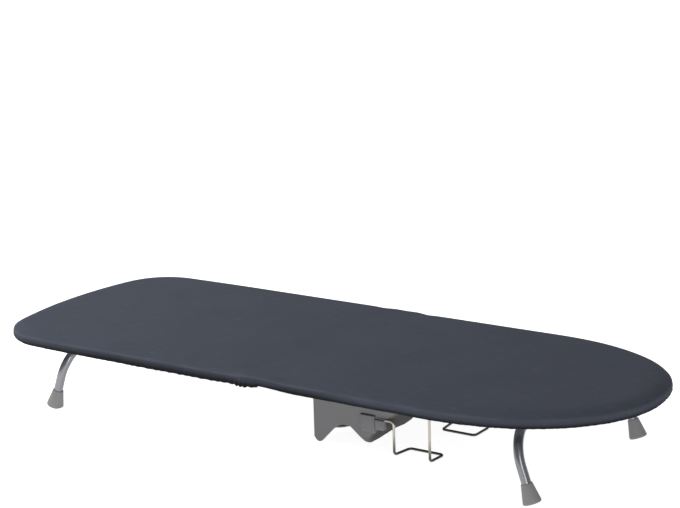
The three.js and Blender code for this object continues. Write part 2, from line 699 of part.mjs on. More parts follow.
function holderPlate() {
  const reach = HOLDER_TIP_X - HOLDER_SHOULDER_X;
  const nose = Array.from({ length: 2 * HOLDER_TIP_STEPS + 1 }, (_, k) => {
    const angle = (k / HOLDER_TIP_STEPS - 1) * 90 * DEG;
    const across = Math.sign(angle) * Math.abs(Math.sin(angle)) ** (1 / HOLDER_TIP_POWER);
    return point(HOLDER_SHOULDER_X + reach * Math.cos(angle), HOLDER_SIDE * across);
  });
  const outline = [point(HOLDER_FOLD_END, -HOLDER_SIDE), ...nose, point(HOLDER_FOLD_END, HOLDER_SIDE)];
  const opening = (x, length, width) => [
    point(x - width / 2, -length / 2), point(x + width / 2, -length / 2),
    point(x + width / 2, length / 2), point(x - width / 2, length / 2),
  ];
  const holes = [
    opening(HOLDER_WINDOW_X, HOLDER_WIDTH - 2 * HOLDER_WINDOW_MARGIN, HOLDER_WINDOW_LENGTH),
    opening(HOLDER_SLOT_X, HOLDER_SLOT_LENGTH, HOLDER_SLOT_WIDTH),
    opening(HOLDER_VENT_X, HOLDER_VENT_LENGTH, HOLDER_VENT_WIDTH),
    arc(HOLDER_EYE_X, 0, HOLDER_EYE_R, 0, 360 * DEG, HOLDER_EYE_SIDES).slice(0, -1),
  ];
  return prism(outline, HOLDER_BOTTOM, HOLDER_TOP, holes);
}

/** A side wall with a foot on the table, an arch over the bar and a cheek beside the iron. */
function holderWall(side) {
  const base = (HOLDER_BOTTOM + HOLDER_TOP) / 2;
  const [toeStart, toeEnd] = [HOLDER_FOLD_END + HOLDER_TOE_CHAMFER, HOLDER_TOE_X];
  const archSide = HOLDER_ARCH_WIDTH / 2;
  const bumpSide = HOLDER_BUMP_WIDTH / 2;
  const outline = [
    point(HOLDER_FOLD_END, base), point(HOLDER_FOLD_END, HOLDER_TOE_CHAMFER),
    point(toeStart, 0), point(toeEnd, 0),
    point(HOLDER_ARCH_X - archSide, HOLDER_ARCH_HEIGHT), point(HOLDER_ARCH_X + archSide, HOLDER_ARCH_HEIGHT),
    point(HOLDER_BUMP_X - bumpSide, HOLDER_BUMP_HEIGHT), point(HOLDER_BUMP_X + bumpSide, HOLDER_BUMP_HEIGHT),
    point(HOLDER_CHEEK_X, HOLDER_CHEEK_HEIGHT), point(HOLDER_SHOULDER_X, HOLDER_BOTTOM - HOLDER_WALL),
    point(HOLDER_SHOULDER_X, base),
  ];
  return crossPrism(outline, ...sideSpan(side, HOLDER_SIDE - HOLDER_WALL, HOLDER_SIDE));
}

/** The tray that takes the iron's heel: an end wall and a lip with a round hump. */
function holderTray() {
  const end = box(
    HOLDER_FOLD_END, HOLDER_FOLD_END + HOLDER_WALL, -HOLDER_SIDE, HOLDER_SIDE, HOLDER_TOE_CHAMFER, HOLDER_TOP,
  );
  const hump = Array.from({ length: LIP_STEPS + 1 }, (_, k) => {
    const angle = (-90 + (180 * k) / LIP_STEPS) * DEG;
    const rise = LIP_RISE + (LIP_HUMP_RISE - LIP_RISE) * Math.cos(angle);
    return point(HOLDER_FOLD_END + HOLDER_WALL + rise, (LIP_HUMP_WIDTH / 2) * Math.sin(angle));
  });
  const corner = HOLDER_FOLD_END + HOLDER_WALL + LIP_RISE;
  const side = HOLDER_SIDE - HOLDER_WALL / 2;
  const outline = [
    point(HOLDER_FOLD_END, -side), point(corner, -side),
    ...hump,
    point(corner, side), point(HOLDER_FOLD_END, side),
  ];
  return join(end, prism(outline, HOLDER_TOE_CHAMFER, HOLDER_TOE_CHAMFER + HOLDER_WALL));
}

/** A moulded lug on a wall's outer face, bored for a wire's tail. */
function wireLug(side, bendX, height) {
  const end = bendX - WIRE_BEND_R - WIRE_TAIL + LUG_GRIP;
  const [y0, y1] = sideSpan(side, HOLDER_SIDE - HOLDER_WALL / 2, HOLDER_SIDE + LUG_DEPTH);
  return box(end - LUG_LENGTH, end, y0, y1, height - LUG_HEIGHT / 2, height + LUG_HEIGHT / 2);
}

function wireLugBore(side, bendX, height) {
  const bore = new THREE.CylinderGeometry(WIRE_R + FIT_GAP, WIRE_R + FIT_GAP, 2 * WIRE_TAIL, RIVET_SIDES);
  bore.rotateZ(90 * DEG);
  return bore.translate(bendX - WIRE_BEND_R - WIRE_TAIL / 2, side * (HOLDER_SIDE + WIRE_STANDOFF), height);
}

function screwPlaces() {
  return [-1, 1].map((side) => [SCREW_X, (side * SCREW_SPACING) / 2]);
}

function screwHoles() {
  const start = HOLDER_BOTTOM - OVERRUN;
  return screwPlaces().map(([x, y]) => rodZ(RIVET_R + FIT_GAP, x, y, start, BAR_TOP, RIVET_SIDES));
}

/** A pan screw that holds the holder's plate up to the crossbar. */
function screwAt([x, y]) {
  const headTop = HOLDER_BOTTOM - FIT_GAP;
  const headBottom = headTop - RIVET_HEAD_HEIGHT;
  const profile = [
    [0, headBottom], [SCREW_FACE_R, headBottom], [RIVET_HEAD_R, headTop - SCREW_EDGE],
    [RIVET_HEAD_R, headTop], [RIVET_R, headTop], [RIVET_R, BAR_TOP - FIT_GAP], [0, BAR_TOP - FIT_GAP],
  ];
  return turned(profile, RIVET_SIDES).translate(x, y, 0);
}

const WIRE_ENDS = [[WIRE_LOW_X, WIRE_LOW_HEIGHT], [WIRE_HIGH_X, WIRE_HIGH_HEIGHT]];

function ironHolder() {
  const sides = [-1, 1];
  const lugs = sides.flatMap((side) => WIRE_ENDS.map(([x, z]) => wireLug(side, x, z)));
  const bores = sides.flatMap((side) => WIRE_ENDS.map(([x, z]) => wireLugBore(side, x, z)));
  const body = join(holderPlate(), ...sides.map(holderWall), holderTray(), ...lugs);
  return cut(body, ...bores, ...screwHoles());
}

/** A flat bar across the arches, seated between the walls. */
function holderBar() {
  const end = HOLDER_SIDE - HOLDER_WALL - FIT_GAP;
  const [x0, x1] = [HOLDER_ARCH_X - BAR_WIDTH / 2, HOLDER_ARCH_X + BAR_WIDTH / 2];
  return box(x0, x1, -end, end, HOLDER_ARCH_HEIGHT, HOLDER_ARCH_HEIGHT + BAR_THICKNESS);
}

/** A spring wire that stands out from a wall and turns in over the iron. */
function retainerWire(side) {
  const outer = side * (HOLDER_SIDE + WIRE_STANDOFF);
  const inner = outer - side * WIRE_SHELF;
  const low = WIRE_R + WIRE_FLOOR_GAP;
  const corners = [
    [WIRE_LOW_X - WIRE_BEND_R - WIRE_TAIL, outer, WIRE_LOW_HEIGHT],
    [WIRE_LOW_X, outer, WIRE_LOW_HEIGHT],
    [WIRE_LOW_X, outer, low],
    [WIRE_LOW_X, inner, low],
    [WIRE_HIGH_X, inner, low],
    [WIRE_HIGH_X, outer, low],
    [WIRE_HIGH_X, outer, WIRE_HIGH_HEIGHT],
    [WIRE_HIGH_X - WIRE_BEND_R - WIRE_TAIL, outer, WIRE_HIGH_HEIGHT],
  ];
  const route = new BentRoute(corners.map((c) => new THREE.Vector3(...c)), WIRE_BEND_R, WIRE_BEND_STEPS);
  return bentRod(route, WIRE_R, WIRE_ARC_POINTS);
}

// Drawcord and closing strap

const LOCK_END = HALF_LENGTH - HEM_WIDTH - LOCK_HEM_GAP;

function cordLock() {
  return box(LOCK_END - LOCK_LENGTH, LOCK_END, -LOCK_WIDTH / 2, LOCK_WIDTH / 2, LOCK_UNDERSIDE, BAR_TOP);
}

/** The drawcord's loop, which leaves the lock, hangs down and goes back in. */
function drawcordLoop() {
  const start = LOCK_END - LOCK_LENGTH - FIT_GAP;
  const height = (LOCK_UNDERSIDE + BAR_TOP) / 2;
  const side = CORD_SPREAD / 2;
  const corners = [
    [start, -side, height], [start - CORD_OUT, -side, height], [start - CORD_OUT, -side, height - CORD_DROP],
    [start - CORD_OUT, side, height - CORD_DROP], [start - CORD_OUT, side, height], [start, side, height],
  ];
  const bend = CORD_BEND_R * (1 - FIT_GAP / CORD_SPREAD);
  const route = new BentRoute(corners.map((c) => new THREE.Vector3(...c)), bend, CORD_BEND_STEPS);
  return bentRod(route, CORD_R, CORD_ARC_POINTS);
}

const STRAP_X = HALF_LENGTH - STRAP_INSET;
const STRAP_PIN_Z = BAR_TOP - STRAP_PIN_DROP;
const STRAP_CHEEK_Y = STRAP_WIDTH / 2 + FIT_GAP;

/** A bracket on the net's solid border whose two cheeks hold the strap's pin. */
function strapAnchor() {
  const [x0, x1] = [STRAP_X - STRAP_ANCHOR_WIDTH / 2, STRAP_X + STRAP_ANCHOR_WIDTH / 2];
  const outer = STRAP_CHEEK_Y + STRAP_CHEEK_WALL;
  const cheeks = box(x0, x1, -outer, outer, STRAP_PIN_Z - STRAP_EYE_R, BAR_TOP);
  const ceiling = BAR_TOP - STRAP_CHEEK_WALL;
  const plate = box(x0, HALF_LENGTH - BAY_INSET - FIT_GAP, -outer, outer, ceiling, BAR_TOP);
  const block = join(cheeks, plate);
  const floor = STRAP_PIN_Z - 2 * STRAP_EYE_R;
  const gap = box(x0 - OVERRUN, x1 + OVERRUN, -STRAP_CHEEK_Y, STRAP_CHEEK_Y, floor, ceiling);
  return cut(block, gap, rodY(STRAP_PIN_R + FIT_GAP, STRAP_X, STRAP_PIN_Z, -2 * outer, 2 * outer, PIN_SIDES));
}

function strapPin() {
  const end = STRAP_CHEEK_Y + STRAP_CHEEK_WALL + FIT_GAP;
  return rodY(STRAP_PIN_R, STRAP_X, STRAP_PIN_Z, -end, end, PIN_SIDES);
}

function closingStrap() {
  const eye = rodY(STRAP_EYE_R, STRAP_X, STRAP_PIN_Z, -STRAP_WIDTH / 2, STRAP_WIDTH / 2, PIN_SIDES);
  const half = STRAP_THICKNESS / 2;
  const tail = box(
    STRAP_X - half, STRAP_X + half,
    -STRAP_WIDTH / 2, STRAP_WIDTH / 2,
    STRAP_PIN_Z - STRAP_LENGTH, STRAP_PIN_Z,
  );
  const bore = rodY(STRAP_PIN_R + FIT_GAP, STRAP_X, STRAP_PIN_Z, -STRAP_WIDTH, STRAP_WIDTH, PIN_SIDES);
  return cut(join(eye, tail), bore);
}

/** The hook at the strap's free end, with an undercut lip on its fold side. */
function strapHook() {
  const top = STRAP_PIN_Z - STRAP_LENGTH - FIT_GAP;
  const back = STRAP_X + STRAP_HOOK_DEPTH / 2;
  const front = STRAP_X - STRAP_HOOK_DEPTH / 2;
  const foot = top - STRAP_HOOK_HEIGHT;
  const lip = front - STRAP_HOOK_SLOT;
  const shelf = foot + STRAP_HOOK_SLOT_RISE;
  const outline = [
    point(lip - STRAP_HOOK_DEPTH / 2, foot), point(back, foot), point(back, top), point(front, top),
    point(front, shelf), point(lip, shelf), point(lip, top - STRAP_HOOK_SLOT_RISE),
    point(lip - STRAP_HOOK_DEPTH / 2, top - STRAP_HOOK_SLOT_RISE),
  ];
  const side = STRAP_WIDTH / 2 + STRAP_HOOK_OVERHANG;
  return crossPrism(outline, -side, side);
}

// Assembly

/** The frame, net, pad, cover, hinge leaves and leg bracket that both halves have. */
function boardHalf(name, edge, legX, nearSide) {
  const half = new THREE.Group();
  half.add(piece(`${name}_rim`, rimOf(edge), GREY_STEEL));
  half.add(piece(`${name}_net`, netOf(edge), NET_STEEL));
  half.add(piece(`${name}_fold_rail`, railOf(), GREY_STEEL));
  half.add(piece(`${name}_pad`, padOf(edge), PAD_FELT));
  half.add(piece(`${name}_cover`, coverOf(edge), COVER_CLOTH));
  const legBar = channelOf(edge, legX + LEG_BAR_SHIFT, LEG_BAR_WIDTH, rivetHoles(legX));
  half.add(piece(`${name}_leg_crossbar`, legBar, GREY_STEEL));
  half.add(piece(`${name}_bracket_base`, bracketBaseOf(legX), GREY_STEEL));
  half.add(piece(`${name}_bracket_saddle`, saddleOf(legX), GREY_STEEL));
  rivetPlaces(legX).forEach((place, i) => {
    half.add(piece(`${name}_bracket_rivet_${i + 1}`, rivetAt(place), BRIGHT_STEEL));
  });
  [-1, 1].forEach((side) => {
    const place = side === nearSide ? 'near' : 'far';
    half.add(piece(`${name}_hinge_leaf_${place}`, leafOf(side), GREY_STEEL));
    half.add(piece(`${name}_hinge_pin_${place}`, hingePinOf(side), BRIGHT_STEEL));
  });
  half.add(legFrame(name, legX, nearSide));
  return half;
}

function noseHalf() {
  const half = boardHalf('nose', noseEdge, NOSE_LEG_X, -1);
  const bar = channelOf(noseEdge, REST_BAR_X, REST_BAR_WIDTH, screwHoles());
  half.add(piece('holder_crossbar', bar, GREY_STEEL));
  half.add(piece('iron_holder', ironHolder(), GREY_PLASTIC));
  half.add(piece('holder_bar', holderBar(), GREY_PLASTIC));
  screwPlaces().forEach((place, i) => {
    half.add(piece(`holder_screw_${i + 1}`, screwAt(place), BRIGHT_STEEL));
  });
  half.add(piece('holder_wire_near', retainerWire(-1), BRIGHT_STEEL));
  half.add(piece('holder_wire_far', retainerWire(1), BRIGHT_STEEL));
  half.add(piece('drawcord_lock', cordLock(), WHITE_PLASTIC));
  half.add(piece('drawcord_loop', drawcordLoop(), BLACK_CORD));
  return half;
}

function bluntHalf() {
  const half = boardHalf('blunt', bluntEdge, BLUNT_LEG_X, 1);
  half.add(piece('blunt_rest_crossbar', channelOf(bluntEdge, REST_BAR_X, REST_BAR_WIDTH), GREY_STEEL));
  half.add(piece('strap_anchor', strapAnchor(), GREY_STEEL));
  half.add(piece('strap_pin', strapPin(), BRIGHT_STEEL));
  half.add(piece('closing_strap', closingStrap(), WHITE_WEBBING));
  half.add(piece('strap_hook', strapHook(), WHITE_PLASTIC));
  half.rotation.z = Math.PI;
  return half;
}

const ironingBoard = new THREE.Group();
ironingBoard.name = 'tabletop_ironing_board';
ironingBoard.add(noseHalf());
ironingBoard.add(bluntHalf());
ironingBoard.add(piece('hinge_link_near', linkOf(-1), GREY_STEEL));
ironingBoard.add(piece('hinge_link_far', linkOf(1), GREY_STEEL));

export default ironingBoard;
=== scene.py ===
"""Looks of a tabletop ironing board that folds in half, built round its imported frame.

Lengths are metres in the frame's own axes: +X to the nose, +Y to the far side, +Z up.
"""
import json
import logging
import math
import random
from dataclasses import dataclass, field
from enum import Enum, IntEnum
from typing import Sequence

import bmesh
import bpy
import numpy as np
from mathutils import Matrix, Vector

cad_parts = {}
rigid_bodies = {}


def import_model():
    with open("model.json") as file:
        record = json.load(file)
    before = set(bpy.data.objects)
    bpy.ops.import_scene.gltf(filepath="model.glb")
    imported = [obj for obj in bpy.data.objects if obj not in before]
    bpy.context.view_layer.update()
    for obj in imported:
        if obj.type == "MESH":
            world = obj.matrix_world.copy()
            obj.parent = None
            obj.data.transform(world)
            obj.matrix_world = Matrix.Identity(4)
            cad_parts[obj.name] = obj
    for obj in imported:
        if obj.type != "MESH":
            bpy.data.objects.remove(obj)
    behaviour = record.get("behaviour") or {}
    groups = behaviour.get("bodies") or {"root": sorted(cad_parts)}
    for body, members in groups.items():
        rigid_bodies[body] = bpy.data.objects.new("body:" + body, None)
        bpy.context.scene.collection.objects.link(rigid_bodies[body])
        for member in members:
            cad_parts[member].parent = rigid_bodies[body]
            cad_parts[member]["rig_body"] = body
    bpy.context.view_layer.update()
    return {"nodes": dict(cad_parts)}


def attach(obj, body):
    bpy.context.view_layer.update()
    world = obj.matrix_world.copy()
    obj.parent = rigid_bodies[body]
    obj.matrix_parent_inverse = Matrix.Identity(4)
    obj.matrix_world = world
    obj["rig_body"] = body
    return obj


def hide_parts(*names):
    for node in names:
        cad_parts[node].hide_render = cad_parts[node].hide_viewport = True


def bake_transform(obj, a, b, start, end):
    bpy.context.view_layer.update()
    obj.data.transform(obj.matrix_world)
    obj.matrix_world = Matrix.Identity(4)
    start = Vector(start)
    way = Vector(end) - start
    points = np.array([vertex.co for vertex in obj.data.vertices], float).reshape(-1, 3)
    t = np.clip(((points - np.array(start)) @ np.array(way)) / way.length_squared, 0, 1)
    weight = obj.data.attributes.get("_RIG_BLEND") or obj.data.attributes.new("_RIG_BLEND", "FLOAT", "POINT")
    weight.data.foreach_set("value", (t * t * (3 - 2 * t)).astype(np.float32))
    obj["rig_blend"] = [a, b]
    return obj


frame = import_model()

Tree, Socket = bpy.types.NodeTree, bpy.types.NodeSocket
Shape, Piece = bmesh.types.BMesh, bpy.types.Object
Pair, Triple = tuple[float, float], tuple[float, float, float]

MM = 0.001
TINY = 1e-6
SNAP = 1e-5
SIDES = (-1, 1)
log = logging.getLogger("ironing_board")


class Half(Enum):
    """The two halves of the board."""

    NOSE = "nose"
    BLUNT = "blunt"

    @property
    def turn(self) -> Matrix:
        """The turn about Z from a half's own axes, +X away from the fold, to the frame's."""
        return Matrix.Rotation(0.0 if self is Half.NOSE else math.pi, 4, "Z")

    @property
    def body(self) -> str:
        """The body that carries this half."""
        return f"{self.value}_half"


# Nodes and finishes


def linear(hex_code: str) -> tuple[float, float, float, float]:
    """Turn an sRGB hex colour into linear RGBA.

    Args:
        hex_code: A colour such as "#4b4e57".

    Returns:
        Red, green, blue and alpha, linear.
    """
    channels = [int(hex_code[k:k + 2], 16) / 255 for k in (1, 3, 5)]
    return (*(c / 12.92 if c <= 0.04045 else ((c + 0.055) / 1.055) ** 2.4 for c in channels), 1.0)


def per(size_mm: float) -> float:
    """The texture scale at which a noise pattern has features of this size."""
    return 1 / (size_mm * MM)


def bands(pitch_mm: float) -> float:
    """The scale at which a wave texture, which runs 20 radians per unit, has bands of this pitch."""
    return 2 * math.pi / (20 * pitch_mm * MM)


def add_node(tree: Tree, kind: str, inputs: dict | None = None, **settings) -> bpy.types.Node:
    """Add a node, set its properties and feed its sockets.

    Args:
        tree: The node tree.
        kind: The node's type.
        inputs: Sockets by name or index, each with a value or with the socket that feeds it.
        **settings: Properties of the node.

    Returns:
        The new node.
    """
    node = tree.nodes.new(kind)
    for name, value in settings.items():
        setattr(node, name, value)
    for name, value in (inputs or {}).items():
        if isinstance(value, Socket):
            tree.links.new(value, node.inputs[name])
        else:
            node.inputs[name].default_value = value
    return node


def noise(tree: Tree, place: Socket, size_mm: float, detail: float) -> Socket:
    """A noise from 0 to 1 whose features have this size."""
    inputs = {"Vector": place, "Scale": per(size_mm), "Detail": detail}
    return add_node(tree, "ShaderNodeTexNoise", inputs).outputs[0]


def waves(tree: Tree, place: Socket, pitch_mm: float, direction: str, **distortion: float) -> Socket:
    """Bands across a direction, as a height from 0 to 1."""
    inputs = {"Vector": place, "Scale": bands(pitch_mm)}
    inputs |= {name.replace("_", " ").title(): value for name, value in distortion.items()}
    return add_node(tree, "ShaderNodeTexWave", inputs, bands_direction=direction).outputs[1]


def ranged(tree: Tree, value: Socket, **limits: float) -> Socket:
    """A value mapped from one range to another, whose limits are from_min, from_max, to_min and to_max."""
    inputs = {name.replace("_", " ").title(): limit for name, limit in limits.items()}
    return add_node(tree, "ShaderNodeMapRange", {"Value": value, **inputs}).outputs[0]


def combined(tree: Tree, operation: str, first: Socket, second: Socket | float) -> Socket:
    """Two values put together."""
    return add_node(tree, "ShaderNodeMath", {0: first, 1: second}, operation=operation).outputs[0]


def mapped(tree: Tree, place: Socket, **change: Triple) -> Socket:
    """Texture coordinates with a changed scale or rotation."""
    inputs = {name.title(): value for name, value in change.items()}
    return add_node(tree, "ShaderNodeMapping", {"Vector": place, **inputs}).outputs[0]


def mixed(tree: Tree, factor: Socket, first: str | Socket, second: str) -> Socket:
    """Mix two colours.

    Args:
        tree: The node tree.
        factor: 0 for the first colour and 1 for the second.
        first: A hex colour or a colour socket.
        second: A hex colour.

    Returns:
        The mixed colour's socket.
    """
    start = linear(first) if isinstance(first, str) else first
    inputs = {0: factor, 6: start, 7: linear(second)}
    return add_node(tree, "ShaderNodeMix", inputs, data_type="RGBA").outputs[2]


@dataclass(frozen=True)
class Finish:
    """A surface with a mottled colour, uneven gloss and a fine relief."""

    name: str
    slot: str
    colour: str
    shade: str
    roughness: float
    metallic: float = 0.0
    ior: float = 1.5
    mottle_mm: float = 40.0
    mottle_detail: float = 5.0
    grain_mm: float = 0.8
    grain_detail: float = 2.0
    grain_depth_mm: float = 0.03
    uneven: float = 0.06
    place: str = "Object"
    # Painted highlight and painted shade: attribute names, the colours they paint and their shares.
    painted_light_tones: tuple[tuple[str, str, float], ...] = ()

    def material(self) -> bpy.types.Material:
        """The finish's material, made on its first use."""
        found = bpy.data.materials.get(self.name)
        if found:
            return found
        made = bpy.data.materials.new(self.name)
        made.use_nodes = True
        tree = made.node_tree
        tree.nodes.clear()
        place = add_node(tree, "ShaderNodeTexCoord").outputs[self.place]
        cloud = noise(tree, place, self.mottle_mm, self.mottle_detail)
        bump = add_node(tree, "ShaderNodeBump", {
            "Height": self.relief(tree, place),
            "Distance": self.grain_depth_mm * MM,
            "Strength": 1.0,
        })
        shader = add_node(tree, "ShaderNodeBsdfPrincipled", {
            "Base Color": self.with_painted_light(tree, self.tint(tree, place, cloud)),
            "Roughness": ranged(tree, cloud, to_min=self.roughness - self.uneven,
                                to_max=self.roughness + self.uneven),
            "Normal": bump.outputs[0],
            "IOR": self.ior,
            "Metallic": self.metallic,
            **self.extras(),
        })
        add_node(tree, "ShaderNodeOutputMaterial", {"Surface": shader.outputs[0]})
        return made

    def extras(self) -> dict:
        """Shader values that only some finishes have."""
        return {}

    def tint(self, tree: Tree, place: Socket, cloud: Socket) -> Socket:
        """The colour at a place, which drifts with a broad noise from the finish's colour to its shade."""
        return mixed(tree, cloud, self.colour, self.shade)

    def with_painted_light(self, tree: Tree, colour: Socket) -> Socket:
        """The colour with the painted highlight and painted shade that a piece's own attributes lay over it.
        """
        for name, tone, share in self.painted_light_tones:
            amount = add_node(tree, "ShaderNodeAttribute", attribute_name=name).outputs["Fac"]
            colour = mixed(tree, combined(tree, "MULTIPLY", amount, share), colour, tone)
        return colour

    def relief(self, tree: Tree, place: Socket) -> Socket:
        """The height of the surface's grain, from 0 to 1."""
        return noise(tree, place, self.grain_mm, self.grain_detail)


@dataclass(frozen=True)
class WovenCloth(Finish):
    """Cloth whose threads run along its flat cut, which its UV map holds in metres."""

    thread_mm: float = 1.1
    slub: str = "#8d919b"
    slub_mm: float = 2.4
    slub_drawn: float = 0.12
    slub_detail: float = 3.0
    slub_range: Pair = (0.56, 0.8)
    slub_share: float = 0.09
    sheen: float = 0.02
    place: str = "UV"

    def extras(self) -> dict:
        """Loose fibres give the cloth a soft sheen at a glancing angle."""
        return {"Sheen Weight": self.sheen, "Sheen Roughness": 0.5, "Specular IOR Level": 0.08}

    def tint(self, tree: Tree, place: Socket, cloud: Socket) -> Socket:
        """The dyed colour, with slubs where a thread is thicker."""
        drawn = mapped(tree, place, scale=(self.slub_drawn, 1.0, 1.0))
        thread = noise(tree, drawn, self.slub_mm, self.slub_detail)
        start, end = self.slub_range
        thick = ranged(tree, thread, from_min=start, from_max=end, to_max=self.slub_share)
        return mixed(tree, thick, super().tint(tree, place, cloud), self.slub)

    def relief(self, tree: Tree, place: Socket) -> Socket:
        """Warp and weft as two sets of bands, about twice as coarse as the threads so that they show."""
        warp, weft = (waves(tree, place, self.thread_mm, axis, distortion=0.6, detail=1.0, detail_scale=0.2)
                      for axis in ("X", "Y"))
        return combined(tree, "ADD", warp, weft)


@dataclass(frozen=True)
class Webbing(WovenCloth):
    """Elastic webbing with round ribs along its length."""

    def relief(self, tree: Tree, place: Socket) -> Socket:
        """Round ribs side by side."""
        return waves(tree, place, self.thread_mm, "Y", distortion=0.3)


@dataclass(frozen=True)
class SpringWire(Finish):
    """Plated wire with painted shade near the table, where it lies under the board."""

    wire_shade: str = "#35322e"
    wire_shade_share: float = 0.85
    bright_from: float = 0.030
    wire_shade_below: float = 0.008

    def tint(self, tree: Tree, place: Socket, cloud: Socket) -> Socket:
        """The plating's colour, darkened with painted shade near the table."""
        height = add_node(tree, "ShaderNodeSeparateXYZ", {0: place}).outputs[2]
        low = ranged(tree, height, from_min=self.bright_from, from_max=self.wire_shade_below,
                     to_max=self.wire_shade_share)
        return mixed(tree, low, super().tint(tree, place, cloud), self.wire_shade)


@dataclass(frozen=True)
class Braid(Finish):
    """A braided cord, whose strands cross on the slant."""

    slants: Pair = (0.0, math.pi / 2)
    skew: float = 0.4

    def relief(self, tree: Tree, place: Socket) -> Socket:
        """Strands that cross as slanting bands."""
        turned = (mapped(tree, place, rotation=(slant, 0.0, self.skew)) for slant in self.slants)
        over, under = (waves(tree, turn, self.grain_mm, "DIAGONAL") for turn in turned)
        return combined(tree, "MAXIMUM", over, under)


# Dyed cotton: matt and bluish, with a painted highlight along its crease and painted shade down its side and
# where it turns under.
COTTON = WovenCloth("slate cotton twill", "cover_cloth", "#454953", "#3f434d", 0.9,
                    mottle_mm=90.0, grain_depth_mm=0.05, uneven=0.05,
                    painted_light_tones=(("crease_highlight", "#7b7f8a", 0.12), ("painted_shade", "#0b0b0d", 0.95)))
# Needle felt: pale, fully matt, with a woolly surface.
FELT = Finish("pale needle felt", "pad_felt", "#eeeef3", "#dcdce4", 0.95,
              mottle_mm=25.0, grain_mm=1.6, grain_depth_mm=0.4, uneven=0.03)
# Powder-coated sheet steel: satin with a slight orange peel.
GREY_COAT = Finish("grey powder-coated steel", "grey_steel", "#868d97", "#7a818b", 0.42, metallic=0.35,
                   mottle_mm=70.0, grain_mm=1.2, grain_depth_mm=0.02)
NET_COAT = Finish("grey powder-coated expanded steel", "net_steel", "#8a8c94", "#7c7e87", 0.45, metallic=0.35,
                  mottle_mm=30.0, grain_mm=1.2, grain_depth_mm=0.02)
# Silver powder-coated tube: metallic flakes under a satin coat.
SILVER_COAT = Finish("silver powder-coated tube", "silver_tube", "#87888d", "#7e7f84", 0.3, metallic=0.9,
                     mottle_mm=50.0, grain_mm=1.5, grain_depth_mm=0.003, uneven=0.03)
# Nickel-plated wire and zinc-plated fasteners: bright, with faint drawing marks; the wire carries painted
# shade near the table.
NICKEL = Finish("nickel-plated steel", "bright_steel", "#c9c5bd", "#aaa59c", 0.2, metallic=1.0,
                mottle_mm=9.0, grain_mm=0.5, grain_depth_mm=0.008, uneven=0.08)
WIRE = SpringWire("nickel-plated spring wire", "bright_steel", "#c8c2b8", "#a8a196", 0.24, metallic=1.0,
                  mottle_mm=9.0, grain_mm=0.5, grain_depth_mm=0.008, uneven=0.08)
# Moulded polypropylene: matt grain from a spark-eroded mould, with painted shade in the holder's cupped sides
# and a painted shadow along its lugs' tops.
GREY_PP = Finish("grey moulded polypropylene", "grey_plastic", "#747475", "#6a6a6b", 0.55, ior=1.49,
                 mottle_mm=60.0, grain_mm=0.7, grain_depth_mm=0.03, painted_light_tones=(("hollow", "#1b1b1c", 0.85),))
FOOT_PP = Finish("grey moulded foot plastic", "foot_plastic", "#868585", "#7a7979", 0.6, ior=1.49,
                 mottle_mm=20.0, grain_mm=0.7, grain_depth_mm=0.04)
# Acetal: white and slightly glossy.
WHITE_POM = Finish("white moulded acetal", "white_plastic", "#e6e5ea", "#dbdadf", 0.35, ior=1.48,
                   mottle_mm=15.0, grain_mm=0.6, grain_depth_mm=0.01)
ELASTIC = Webbing("white elastic webbing", "white_webbing", "#e6e5ea", "#d6d5db", 0.85,
                  mottle_mm=8.0, grain_depth_mm=0.15, thread_mm=1.2, sheen=0.1)
CORD = Braid("black braided cord", "black_cord", "#1c1c1f", "#101012", 0.8,
             mottle_mm=4.0, grain_mm=1.1, grain_depth_mm=0.15)


# Meshes


def publish(bm: Shape, name: str, finish: Finish, crease: float = 35.0) -> Piece:
    """Make a finished piece of a bmesh, and free it.

    Args:
        bm: The shape, in the frame's axes.
        name: The piece's name.
        finish: Its finish.
        crease: Edges sharper than this angle in degrees stay sharp.

    Returns:
        The piece.
    """
    mesh = bpy.data.meshes.new(name)
    bm.to_mesh(mesh)
    bm.free()
    return show(mesh, name, finish, crease)


def show(mesh: bpy.types.Mesh, name: str, finish: Finish, crease: float = 35.0) -> Piece:
    """Put a mesh in the scene as a finished piece, as publish does."""
    mesh.shade_smooth()
    mesh.set_sharp_from_angle(angle=math.radians(crease))
    mesh.materials.clear()
    mesh.materials.append(finish.material())
    piece = bpy.data.objects.new(name, mesh)
    bpy.context.scene.collection.objects.link(piece)
    log.info("%s: %d faces", name, len(mesh.polygons))
    return piece


def verts_of(geometry: Sequence) -> list[bmesh.types.BMVert]:
    """The vertices among an operator's results."""
    return [g for g in geometry if isinstance(g, bmesh.types.BMVert)]


def face_outward(bm: Shape) -> None:
    """Turn a shape's faces outwards."""
    bmesh.ops.recalc_face_normals(bm, faces=bm.faces[:])


def close_holes(bm: Shape) -> None:
    """Fill each open run of edges with a face."""
    bmesh.ops.holes_fill(bm, edges=[e for e in bm.edges if e.is_boundary], sides=0)


def grown(bm: Shape, edges: Sequence[bmesh.types.BMEdge]) -> tuple[list, list]:
    """Extrude a run of edges, and give the new run's vertices and edges."""
    made = bmesh.ops.extrude_edge_only(bm, edges=list(edges))["geom"]
    verts = verts_of(made)
    fresh = set(verts)
    run = [g for g in made if isinstance(g, bmesh.types.BMEdge) and all(v in fresh for v in g.verts)]
    return verts, run


def round_edges(bm: Shape, radius: float, segments: int = 2, sharper: float = 35.0) -> None:
    """Round the edges of a bmesh that are sharper than an angle.

    Args:
        bm: The bmesh.
        radius: The rounding.
        segments: Faces round it.
        sharper: The angle in degrees.
    """
    limit = math.radians(sharper)
    edges = [e for e in bm.edges if e.is_manifold and e.calc_face_angle(0.0) > limit]
    bmesh.ops.bevel(bm, geom=edges, offset=radius, offset_type="OFFSET", segments=segments, profile=0.5,
                    affect="EDGES", clamp_overlap=True, material=-1)


